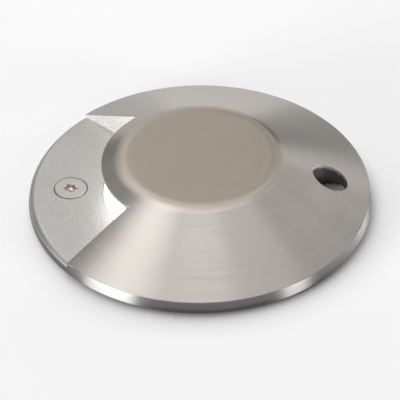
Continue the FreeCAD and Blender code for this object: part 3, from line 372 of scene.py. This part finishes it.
def bore_steel_painted_light():
    """The shaft over the back screw: dull, with a painted bright ragged band under its mouth for the light on
    the top of its wall, and painted shade, a dark tone, below it.
    """
    material, tree = new_tree("bore_steel_painted_light")
    grain = effect(tree, surface_grain, Grains=1500.0, Patches=900.0)
    height = node(tree, "ShaderNodeSeparateXYZ", {0: object_place(tree)}).outputs[2]
    mouth = maths(tree, "SUBTRACT", (RIM_HEIGHT + RIM_TOP_RADIUS * CONE_FALL) * MM,
                  maths(tree, "MULTIPLY", centre_distance(tree), CONE_FALL))
    ragged = maths(tree, "ADD", maths(tree, "SUBTRACT", mouth, height),
                   unevenness(tree, grain["Patch"], -LIT_BAND_RAGGED * MM, LIT_BAND_RAGGED * MM))
    painted_lit_band = spread(tree, ragged, LIT_BAND_DEPTH[0] * MM, LIT_BAND_DEPTH[1] * MM, 1.0, 0.0)
    # Painted light and shade: near white where light falls on the top of the wall, dark below in its shade.
    finished(tree, blend_colours(tree, painted_lit_band, (0.25, 0.243, 0.237), (0.97, 0.96, 0.94)), Metallic=1.0,
             Roughness=unevenness(tree, grain["Grain"], 0.45, 0.6), Normal=bump(tree, grain["Grain"], 0.02))
    return material


def plain_finish(name, dark, light, metallic, rough_low, rough_high, grains=2000.0, depth=0.01, **extra):
    """A finish with a fine grain in it and soft patches of tone."""
    material, tree = new_tree(name)
    grain = effect(tree, surface_grain, Grains=grains, Patches=80.0)
    finished(tree, blend_colours(tree, grain["Patch"], dark, light), Metallic=metallic,
             Roughness=unevenness(tree, grain["Patch"], rough_low, rough_high),
             Normal=bump(tree, grain["Grain"], depth), **extra)
    return material


PLAIN_FINISHES = {
    # dark and light colour, metallic, least and most roughness
    "screw_steel": ((0.46, 0.445, 0.425), (0.53, 0.515, 0.495), 1.0, 0.38, 0.5),
    "socket_steel": ((0.74, 0.70, 0.65), (0.82, 0.78, 0.73), 1.0, 0.6, 0.75),
    "spring_steel": ((0.40, 0.41, 0.44), (0.52, 0.52, 0.53), 1.0, 0.25, 0.4),
    "silicone": ((0.62, 0.62, 0.60), (0.72, 0.72, 0.70), 0.0, 0.45, 0.6),
    "black_rubber": ((0.02, 0.02, 0.02), (0.045, 0.045, 0.045), 0.0, 0.5, 0.7),
    "mirror_aluminium": ((0.85, 0.85, 0.86), (0.9, 0.9, 0.91), 1.0, 0.05, 0.12),
    "led_yellow": ((0.85, 0.70, 0.25), (0.92, 0.80, 0.34), 0.0, 0.35, 0.5),
    "board_white": ((0.84, 0.84, 0.82), (0.90, 0.90, 0.88), 0.0, 0.25, 0.4),
    "board_green": ((0.04, 0.20, 0.09), (0.07, 0.27, 0.13), 0.0, 0.25, 0.4),
    "white_nylon": ((0.80, 0.79, 0.75), (0.86, 0.85, 0.81), 0.0, 0.4, 0.55),
    "thermal_grey": ((0.40, 0.42, 0.45), (0.48, 0.50, 0.53), 0.0, 0.6, 0.8),
    "machined_aluminium": ((0.64, 0.65, 0.66), (0.72, 0.73, 0.74), 1.0, 0.28, 0.4),
    "brass": ((0.66, 0.48, 0.20), (0.75, 0.57, 0.27), 1.0, 0.25, 0.38),
    "lead_red": ((0.50, 0.05, 0.04), (0.60, 0.08, 0.06), 0.0, 0.35, 0.5),
    "black_plastic": ((0.025, 0.025, 0.028), (0.045, 0.045, 0.05), 0.0, 0.4, 0.55),
    "terminal_green": ((0.08, 0.33, 0.15), (0.11, 0.40, 0.19), 0.0, 0.4, 0.55),
    "zinc": ((0.58, 0.60, 0.60), (0.68, 0.70, 0.71), 1.0, 0.25, 0.4),
}

FINISHES = {name: plain_finish(name, *row) for name, row in PLAIN_FINISHES.items()}
FINISHES["turned_steel"] = turned_steel()
FINISHES["ground_steel"] = ground_steel()
FINISHES["polished_steel"] = polished_steel()
FINISHES["blasted_steel"] = blasted_steel("blasted_steel", (0.43, 0.416, 0.402), (0.52, 0.504, 0.488), 0.05)
# The walls: the floor's blasted steel, painted much lighter as painted light for the light that falls on
# them.
FINISHES["blasted_wall_painted_light"] = blasted_steel("blasted_wall_painted_light", (0.70, 0.68, 0.66), (0.93, 0.91, 0.88), 0.1)
FINISHES["bore_steel_painted_light"] = bore_steel_painted_light()
FINISHES["frosted_glass"] = plain_finish(
    "frosted_glass", (0.90, 0.90, 0.89), (0.95, 0.95, 0.94), 0.0, 0.45, 0.6,
    Emission_Color=(1.0, 0.99, 0.97), Emission_Strength=LENS_GLOW)
FINISHES["housing_bronze"] = plain_finish(
    "housing_bronze", (0.018, 0.018, 0.02), (0.03, 0.03, 0.033), 0.0, 0.4, 0.55, grains=1500.0, depth=0.05)
FINISHES["sleeve_plastic"] = plain_finish(
    "sleeve_plastic", (0.035, 0.037, 0.04), (0.06, 0.062, 0.066), 0.0, 0.45, 0.6, grains=1200.0, depth=0.03)


def finish_nodes():
    """Give every node of the frame its finish by its slot in the record."""
    for row in frame["record"]["subparts"]:
        mesh = frame["nodes"][row["node"]].data
        mesh.materials.clear()
        mesh.materials.append(FINISHES[row["material_slot"]])


# Modelling steps

def deselect_all():
    bpy.ops.object.select_all(action="DESELECT")


def only(piece):
    """Make one piece the only one selected, and the active one."""
    deselect_all()
    bpy.context.view_layer.objects.active = piece
    piece.select_set(True)


def edit(piece):
    """Go into edit mode on one piece."""
    only(piece)
    bpy.ops.object.mode_set(mode="EDIT")


def done():
    bpy.ops.object.mode_set(mode="OBJECT")


def settled(piece):
    """Apply a piece's place, turn and scale to its mesh."""
    only(piece)
    bpy.ops.object.transform_apply(location=True, rotation=True, scale=True)
    return piece


def added(name):
    """Name the primitive that was just added, and settle it."""
    piece = bpy.context.object
    piece.name = name
    return settled(piece)


def shift(x=0.0, y=0.0, z=0.0):
    """Move what is picked, in millimetres."""
    bpy.ops.transform.translate(value=(x * MM, y * MM, z * MM))


def pick_faces(piece, wanted):
    """Select the faces of the piece in edit mode whose middle, in millimetres, and normal pass a test."""
    bpy.ops.mesh.select_mode(type="FACE")
    bpy.ops.mesh.select_all(action="DESELECT")
    done()
    for face in piece.data.polygons:
        face.select = wanted(face.center / MM, face.normal)
    bpy.ops.object.mode_set(mode="EDIT")


def pick_edges(piece, wanted):
    """Select the edges of the piece in edit mode whose two ends, in millimetres, pass a test."""
    bpy.ops.mesh.select_mode(type="EDGE")
    bpy.ops.mesh.select_all(action="DESELECT")
    done()
    corners = piece.data.vertices
    for edge in piece.data.edges:
        edge.select = all(wanted(corners[number].co / MM) for number in edge.vertices)
    bpy.ops.object.mode_set(mode="EDIT")


def facing_down(middle, normal):
    return normal.z < -FACING


def facing_up(middle, normal):
    return normal.z > FACING


def round_bar(name, radius, bottom, top, x=0.0, end_radius=None, sides=ROUND_SIDES):
    """A cylinder, or a cone up to an end radius, with its place in its mesh."""
    deselect_all()
    bpy.ops.mesh.primitive_cone_add(
        vertices=sides, radius1=radius * MM, radius2=(radius if end_radius is None else end_radius) * MM,
        depth=(top - bottom) * MM, location=(x * MM, 0, (top + bottom) / 2 * MM))
    return added(name)


def draw_out(rise, taper=1.0, x=0.0):
    """Extrude the picked faces up or down, and narrow or widen their end round a centre line."""
    bpy.ops.mesh.extrude_region()
    shift(z=rise)
    bpy.ops.transform.resize(value=(taper, taper, 1), center_override=(x * MM, 0, 0))


def round_edge(piece, height, radius, turn, steps):
    """Round the edges that lie at a height and turn by an angle."""
    pick_edges(piece, lambda end: abs(end.z - height) < SAME)
    bpy.ops.mesh.bevel(offset=radius * math.tan(turn / 2) * MM, segments=steps, affect="EDGES")


def cut(piece, cutter, operation="DIFFERENCE"):
    """Apply a boolean with the cutter, and remove the cutter."""
    modifier = piece.modifiers.new("cut", "BOOLEAN")
    modifier.object = cutter
    modifier.operation = operation
    modifier.solver = "EXACT"
    only(piece)
    bpy.ops.object.modifier_apply(modifier=modifier.name)
    bpy.data.objects.remove(cutter)


def smooth(piece):
    """Smooth shading between faces that nearly line up, led by the larger faces."""
    only(piece)
    bpy.ops.object.shade_smooth_by_angle(angle=math.radians(SMOOTH_ANGLE))
    weighted = piece.modifiers.new("weighted", "WEIGHTED_NORMAL")
    weighted.keep_sharp = True
    bpy.ops.object.modifier_apply(modifier=weighted.name)


def out_from(place, x=0.0):
    """How far a place is from an upright line through x, y = 0."""
    return math.hypot(place.x - x, place.y)


# The cover

def cover_blank():
    """The turned form: a cone with a rim below, rounded edges, and the hollows of its underside."""
    cover = round_bar("steel_cover", RIM_TOP_RADIUS, RIM_HEIGHT, TOP_HEIGHT, end_radius=TOP_RADIUS)
    edit(cover)
    pick_faces(cover, facing_down)
    draw_out(-RIM_HEIGHT, RIM_RADIUS / RIM_TOP_RADIUS)
    slope, draft = math.atan(CONE_FALL), math.atan(RIM_DRAFT)
    round_edge(cover, TOP_HEIGHT, TOP_BLEND, slope, steps=16)
    round_edge(cover, RIM_HEIGHT, RIM_ROUND, math.pi / 2 - slope - draft, steps=6)
    pick_faces(cover, facing_down)
    for ring in (RIM_RADIUS - GROOVE_OUTER, GROOVE_OUTER - GROOVE_INNER, GROOVE_INNER - CAVITY_RADIUS):
        bpy.ops.mesh.inset(thickness=ring * MM)
    draw_out(CAVITY_TOP)
    pick_faces(cover, lambda middle, normal: (facing_down(middle, normal) and middle.z < GROOVE_TOP
                                              and GROOVE_INNER < out_from(middle) < GROOVE_OUTER))
    draw_out(GROOVE_TOP)
    done()
    return cover


def window_floor():
    """What stays under the window: a disc whose edge rounds down into the rim."""
    disc = round_bar("window_floor", RIM_RADIUS - RIM_DRAFT * LOW + SPARE, LOW, WINDOW_FLOOR,
                     end_radius=RIM_RADIUS - RIM_DRAFT * WINDOW_FLOOR + SPARE)
    edit(disc)
    round_edge(disc, WINDOW_FLOOR, FLOOR_ROUND, math.pi / 2 - math.atan(RIM_DRAFT), steps=12)
    done()
    return disc


def wedge(name, near, far, near_y, far_y, bottom, top):
    """A block that widens towards -X, from half its width at the near end to that at the far end."""
    deselect_all()
    bpy.ops.mesh.primitive_cube_add(
        size=MM, location=(-(near + far) / 2 * MM, 0, (bottom + top) / 2 * MM),
        scale=(far - near, 2 * near_y, top - bottom))
    block = added(name)
    edit(block)
    pick_faces(block, lambda middle, normal: normal.x < -FACING)
    bpy.ops.transform.resize(value=(1, far_y / near_y, 1), center_override=(0, 0, 0))
    done()
    return block


def window_cut():
    """What is cut away for the window, between two straight walls from the lens to the rim."""
    corner_x = WINDOW_RADIUS * math.cos(math.radians(WINDOW_HALF_ANGLE))
    corner_y = WINDOW_RADIUS * math.sin(math.radians(WINDOW_HALF_ANGLE))
    leaning = math.tan(math.radians(WALL_ANGLE))
    near, far = corner_x - WEDGE_START, RIM_RADIUS + MARGIN
    near_y, far_y = (corner_y + (out - corner_x) * leaning for out in (near, far))
    block = wedge("window_cut", near, far, near_y, far_y, 0, HIGH)
    cut(block, round_bar("inside", WINDOW_RADIUS, LOW, HIGH + MARGIN))
    cut(block, window_floor())
    return block


def notch(side):
    """The small round relief where a wall meets the lip."""
    drill = round_bar("notch", NOTCH_RADIUS, WINDOW_FLOOR + SPARE, HIGH, x=WINDOW_RADIUS, sides=32)
    edit(drill)
    bpy.ops.mesh.select_all(action="SELECT")
    turn = math.radians(180 - side * WINDOW_HALF_ANGLE)
    shift(x=WINDOW_RADIUS * (math.cos(turn) - 1), y=WINDOW_RADIUS * math.sin(turn))
    done()
    return drill


def lens_opening():
    """The slot under the lip that lets the light out, as wide as the window's arc."""
    near, far = MARGIN, RIM_RADIUS
    widening = math.tan(math.radians(WINDOW_HALF_ANGLE))
    slot = wedge("lens_opening", near, far, near * widening, far * widening,
                 WINDOW_FLOOR + SPARE, CAVITY_TOP - SPARE)
    cut(slot, round_bar("outside", WINDOW_RADIUS + OVERLAP, LOW, HIGH), "INTERSECT")
    cut(slot, round_bar("inside", CAVITY_RADIUS - OVERLAP, LOW, HIGH))
    return slot


def screw_bore(x):
    """A hole for a countersunk screw, open above its countersink."""
    throat = WINDOW_FLOOR - (COUNTERSINK - SCREW_HOLE)
    drill = round_bar("screw_bore", COUNTERSINK, WINDOW_FLOOR, HIGH, x=x, sides=96)
    edit(drill)
    pick_faces(drill, facing_down)
    draw_out(throat - WINDOW_FLOOR, SCREW_HOLE / COUNTERSINK, x)
    draw_out(LOW - throat, x=x)
    done()
    return drill


COVER_FINISHES = ("turned_steel", "ground_steel", "blasted_steel", "polished_steel", "blasted_wall_painted_light",
                  "bore_steel_painted_light")


def cover_finish(middle, normal):
    """The finish of a face of the cover."""
    upright = abs(normal.z) < WALL_SLOPE
    if normal.z > GROUND_SLOPE and middle.z > GROUND_FOOT:
        return "ground_steel"
    if upright and middle.z > WINDOW_FLOOR and out_from(middle, SCREW_CIRCLE) < COUNTERSINK + NEAR:
        return "bore_steel_painted_light"
    reach = out_from(middle)
    in_window = middle.x < 0 and abs(math.atan2(middle.y, -middle.x)) < math.radians(WINDOW_HALF_ANGLE)
    if in_window and reach > WINDOW_START and middle.z > WINDOW_FOOT:
        if upright and reach < WALL_END:
            return "blasted_wall_painted_light"
        if normal.z > FLOOR_SLOPE and middle.z < RIM_HEIGHT + SAME:
            return "blasted_steel"
    if reach > POLISH_START and normal.z < RIM_SLOPE:
        return "polished_steel"
    return "turned_steel"


def make_cover():
    cover = cover_blank()
    cut(cover, window_cut())
    for side in (1, -1):
        cut(cover, notch(side))
    cut(cover, lens_opening())
    for x in (-SCREW_CIRCLE, SCREW_CIRCLE):
        cut(cover, screw_bore(x))
    for name in COVER_FINISHES:
        cover.data.materials.append(FINISHES[name])
    for face in cover.data.polygons:
        face.material_index = COVER_FINISHES.index(cover_finish(face.center / MM, face.normal))
    smooth(cover)
    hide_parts("cover")
    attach(cover, "cover")


# The lens and the cover screws

def make_lens():
    """The lens: a domed pot with a flange at its foot, hollow underneath."""
    lens = round_bar("frosted_lens", LENS_RADIUS, LENS_FLANGE_TOP, LENS_TOP)
    edit(lens)
    round_edge(lens, LENS_TOP, LENS_ROUND, math.pi / 2, steps=8)
    pick_faces(lens, facing_down)
    draw_out(0, LENS_FLANGE_RADIUS / LENS_RADIUS)
    draw_out(LENS_FOOT - LENS_FLANGE_TOP)
    bpy.ops.mesh.inset(thickness=(LENS_FLANGE_RADIUS - LENS_RADIUS + LENS_WALL) * MM)
    draw_out(LENS_TOP - LENS_WALL - LENS_FOOT)
    done()
    lens.data.materials.append(FINISHES["frosted_glass"])
    smooth(lens)
    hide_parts("lens")
    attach(lens, "luminaire")


def screw_blank():
    """A countersunk screw on the centre line, with its head's edge and its tip eased."""
    screw = round_bar("window_cover_screw", HEAD_RADIUS, WINDOW_FLOOR - HEAD_LAND, WINDOW_FLOOR, sides=96)
    edit(screw)
    pick_edges(screw, lambda end: end.z > WINDOW_FLOOR - SAME)
    bpy.ops.mesh.bevel(offset=HEAD_EDGE * MM, segments=3, affect="EDGES")
    pick_faces(screw, facing_down)
    draw_out(SHANK_RADIUS - HEAD_RADIUS, SHANK_RADIUS / HEAD_RADIUS)
    cone_end = WINDOW_FLOOR - HEAD_LAND - HEAD_RADIUS + SHANK_RADIUS
    draw_out(SCREW_TIP + TIP_CHAMFER - cone_end)
    draw_out(-TIP_CHAMFER, 1 - TIP_CHAMFER / SHANK_RADIUS)
    done()
    return screw


def make_screw():
    """The screw with a six-lobe socket round a pin."""
    screw = screw_blank()
    socket_foot, out = WINDOW_FLOOR - SOCKET_DEPTH, SOCKET_REACH - SOCKET_LOBE
    cut(screw, round_bar("core", SOCKET_CORE, socket_foot, HIGH, sides=48))
    for number in range(LOBES):
        lobe = round_bar("lobe", SOCKET_LOBE, socket_foot, HIGH, sides=24)
        edit(lobe)
        bpy.ops.mesh.select_all(action="SELECT")
        turn = math.radians(360 / LOBES * number)
        shift(x=out * math.cos(turn), y=out * math.sin(turn))
        done()
        cut(screw, lobe)
    pin = round_bar("pin", PIN_RADIUS, socket_foot - PIN_ROOT, WINDOW_FLOOR - PIN_ROUND, sides=32)
    edit(pin)
    round_edge(pin, WINDOW_FLOOR - PIN_ROUND, PIN_ROUND, math.pi / 2, steps=3)
    done()
    cut(screw, pin, "UNION")
    for name in ("screw_steel", "socket_steel"):
        screw.data.materials.append(FINISHES[name])
    for face in screw.data.polygons:
        middle = face.center / MM
        sunk = socket_foot - NEAR < middle.z < WINDOW_FLOOR - NEAR
        face.material_index = int(sunk and out_from(middle) < SOCKET_REACH + NEAR)
    return screw


def make_screws():
    window_screw = make_screw()
    only(window_screw)
    bpy.ops.object.duplicate(linked=False)
    back_screw = bpy.context.object
    back_screw.name = "back_cover_screw"
    for screw, node_name, x in ((window_screw, "window_screw", -SCREW_CIRCLE),
                                (back_screw, "back_screw", SCREW_CIRCLE)):
        edit(screw)
        bpy.ops.mesh.select_all(action="SELECT")
        shift(x=x)
        done()
        smooth(screw)
        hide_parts(node_name)
        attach(screw, node_name)


# The ground sleeve

def lying_bar(name, radius, start, end):
    """A cylinder along X at the height of the hubs."""
    deselect_all()
    bpy.ops.mesh.primitive_cylinder_add(
        vertices=HUB_SIDES, radius=radius * MM, depth=(end - start) * MM, rotation=(0, math.pi / 2, 0),
        location=((start + end) / 2 * MM, 0, HUB_HEIGHT * MM))
    return added(name)


def turned_about(piece, angle):
    """Turn a piece about the centre line."""
    piece.rotation_euler.z = math.radians(angle)
    return settled(piece)


def round_corners(piece):
    """Round all of a piece's clear edges a little, as a mould leaves them."""
    rounding = piece.modifiers.new("rounding", "BEVEL")
    rounding.width = MOULD_EDGE * MM
    rounding.segments = MOULD_STEPS
    rounding.limit_method = "ANGLE"
    rounding.angle_limit = math.radians(MOULD_ANGLE)
    only(piece)
    bpy.ops.object.modifier_apply(modifier=rounding.name)


def moulded(piece, node_name):
    """Finish a sleeve piece in place of its node."""
    piece.data.materials.append(FINISHES["sleeve_plastic"])
    smooth(piece)
    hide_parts(node_name)
    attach(piece, "sleeve")


def make_sleeve_barrel():
    """The tube, with a wider collar at its top and a seat inside for the housing's flange."""
    barrel = round_bar("moulded_barrel", SLEEVE_RADIUS, SLEEVE_FOOT, COLLAR_FOOT - COLLAR_SLOPE,
                       sides=SLEEVE_SIDES)
    edit(barrel)
    pick_faces(barrel, facing_up)
    draw_out(COLLAR_SLOPE, COLLAR_RADIUS / SLEEVE_RADIUS)
    draw_out(SLEEVE_TOP - COLLAR_FOOT)
    done()
    cut(barrel, round_bar("bore", SLEEVE_BORE, SLEEVE_FOOT - MARGIN, HIGH, sides=SLEEVE_SIDES))
    cut(barrel, round_bar("seat", SEAT_RADIUS, SEAT_HEIGHT, HIGH, sides=SLEEVE_SIDES))
    cut(barrel, lying_bar("conduit_hole", CONDUIT_STOP, -FOOT_RADIUS, FOOT_RADIUS))
    return barrel


def make_gusset(number):
    """A triangular rib between the foot flange and the barrel, sunk a little into both."""
    deselect_all()
    bpy.ops.mesh.primitive_cube_add(
        size=MM, scale=(GUSSET_WIDE, GUSSET_THICK, GUSSET_HIGH),
        location=((SLEEVE_RADIUS + GUSSET_WIDE / 2) * MM, 0, (SLEEVE_FOOT + GUSSET_HIGH / 2) * MM))
    gusset = added("gusset")
    edit(gusset)
    pick_edges(gusset, lambda end: end.x > SLEEVE_RADIUS + OVERLAP and end.z > SLEEVE_FOOT + OVERLAP)
    shift(z=GUSSET_TOE - GUSSET_HIGH)
    bpy.ops.mesh.select_all(action="SELECT")
    shift(x=-GUSSET_SINK, z=-GUSSET_SINK)
    done()
    return turned_about(gusset, 360 / GUSSETS * (number + 0.5))


def foot_drill(radius, circle=0.0, angle=0.0, sides=32):
    """A drill through the foot at a place on a circle."""
    drill = round_bar("drill", radius, FOOT_BOTTOM - MARGIN, SLEEVE_FOOT + MARGIN, x=circle, sides=sides)
    return turned_about(drill, angle)


def make_sleeve_foot():
    """The floor and foot flange, with ribs, drain holes, anchor holes and the bottom entry."""
    foot = round_bar("moulded_foot", FOOT_RADIUS, FOOT_BOTTOM, SLEEVE_FOOT, sides=SLEEVE_SIDES)
    for number in range(GUSSETS):
        cut(foot, make_gusset(number), "UNION")
    cut(foot, foot_drill(CONDUIT_RADIUS, sides=HUB_SIDES))
    for number in range(DRAINS):
        cut(foot, foot_drill(DRAIN_RADIUS, DRAIN_CIRCLE, 360 / DRAINS * number))
    for number in range(ANCHORS):
        cut(foot, foot_drill(ANCHOR_RADIUS, ANCHOR_CIRCLE, 360 / ANCHORS * (number + 0.5)))
    return foot


def make_hubs():
    """Two conduit sockets, saddled to the barrel."""
    hubs = lying_bar("moulded_hubs", HUB_RADIUS, -HUB_FACE, HUB_FACE)
    cut(hubs, lying_bar("bore", CONDUIT_STOP, -HUB_FACE - MARGIN, HUB_FACE + MARGIN))
    for side in (-1, 1):
        inner, outer = sorted((side * SOCKET_END, side * (HUB_FACE + MARGIN)))
        cut(hubs, lying_bar("socket", CONDUIT_RADIUS, inner, outer))
    cut(hubs, round_bar("saddle", SLEEVE_RADIUS, FOOT_BOTTOM, SLEEVE_TOP, sides=SLEEVE_SIDES))
    return hubs


def make_plug():
    """The cup that closes the hub that isn't used."""
    plug = lying_bar("moulded_plug", HUB_RADIUS, HUB_FACE, PLUG_HEAD)
    edit(plug)
    pick_edges(plug, lambda end: end.x > PLUG_HEAD - SAME)
    bpy.ops.mesh.bevel(offset=PLUG_CHAMFER * MM, segments=4, affect="EDGES")
    done()
    cut(plug, lying_bar("spigot", PLUG_SPIGOT, PLUG_END, HUB_FACE + OVERLAP), "UNION")
    cut(plug, lying_bar("hollow", PLUG_HOLLOW, PLUG_END - MARGIN, HUB_FACE))
    return plug


def make_sleeve():
    for make, node_name in ((make_sleeve_barrel, "sleeve"), (make_sleeve_foot, "sleeve_foot"),
                            (make_hubs, "conduit_hubs"), (make_plug, "conduit_plug")):
        piece = make()
        round_corners(piece)
        moulded(piece, node_name)


# Stage

def floor_shade(tree):
    """The floor's grey: white, and darker in the crevice along the rim, most on the shadow's side."""
    crevice = node(tree, "ShaderNodeAmbientOcclusion", {"Distance": SHADOW_REACH}, samples=8).outputs["AO"]
    open_part = maths(tree, "POWER", spread(tree, crevice, *SHADOW_OPEN, 0.0, 1.0), SHADOW_FALL)
    outwards = node(tree, "ShaderNodeVectorMath", {0: object_place(tree)}, operation="NORMALIZE").outputs[0]
    side = node(tree, "ShaderNodeVectorMath", {0: outwards, 1: direction(SHADOW_SIDE, 0)},
                operation="DOT_PRODUCT").outputs["Value"]
    depth = spread(tree, side, *SHADOW_TURN, SHADOW_LEAST, 1.0)
    dark = maths(tree, "MULTIPLY", maths(tree, "SUBTRACT", 1.0, open_part), depth)
    return maths(tree, "MULTIPLY", maths(tree, "SUBTRACT", 1.0, dark), FLOOR_WHITE)


def one_sided_floor():
    """White from above. From below it's clear, so that the sleeve in the ground is seen and lit."""
    material, tree = new_tree("pale_floor")
    white = node(tree, "ShaderNodeBsdfDiffuse", {"Color": floor_shade(tree)}).outputs[0]
    path = node(tree, "ShaderNodeLightPath").outputs
    seen = maths(tree, "ADD", path["Is Camera Ray"], path["Is Glossy Ray"])
    strength = maths(tree, "MULTIPLY", seen, FLOOR_LIFT)
    lift = node(tree, "ShaderNodeEmission", {"Strength": strength}).outputs[0]
    lifted = node(tree, "ShaderNodeAddShader", {0: white, 1: lift}).outputs[0]
    clear = node(tree, "ShaderNodeBsdfTransparent").outputs[0]
    below = node(tree, "ShaderNodeNewGeometry").outputs["Backfacing"]
    mixed = node(tree, "ShaderNodeMixShader", {0: below, 1: lifted, 2: clear}).outputs[0]
    node(tree, "ShaderNodeOutputMaterial", {"Surface": mixed})
    return material


def make_floor():
    """A wide flat ring round the rim, just under it."""
    deselect_all()
    bpy.ops.mesh.primitive_circle_add(vertices=FLOOR_SIDES, radius=FLOOR_HOLE, location=(0, 0, -FLOOR_DROP))
    floor = bpy.context.object
    floor.name = "floor"
    edit(floor)
    bpy.ops.mesh.select_all(action="SELECT")
    bpy.ops.mesh.extrude_region()
    bpy.ops.transform.resize(value=(FLOOR_REACH / FLOOR_HOLE, FLOOR_REACH / FLOOR_HOLE, 1))
    bpy.ops.mesh.select_all(action="SELECT")
    bpy.ops.mesh.normals_make_consistent(inside=False)
    done()
    if floor.data.polygons[0].normal.z < 0:
        floor.data.flip_normals()
    settled(floor)
    floor.data.materials.append(one_sided_floor())


def make_world():
    """A pale backdrop for the camera alone. The lamps give all the light."""
    world = bpy.data.worlds.new("studio")
    bpy.context.scene.world = world
    world.use_nodes = True
    tree = world.node_tree
    tree.nodes.clear()
    seen = maths(tree, "MULTIPLY", node(tree, "ShaderNodeLightPath").outputs["Is Camera Ray"], BACKDROP)
    backdrop = node(tree, "ShaderNodeBackground", {"Color": (1, 1, 1), "Strength": seen}).outputs[0]
    node(tree, "ShaderNodeOutputWorld", {"Surface": backdrop})


make_camera()
make_lamps()
make_world()
make_floor()
finish_nodes()
make_cover()
make_lens()
make_screws()
make_sleeve()
bpy.context.scene.view_settings.view_transform = "Standard"
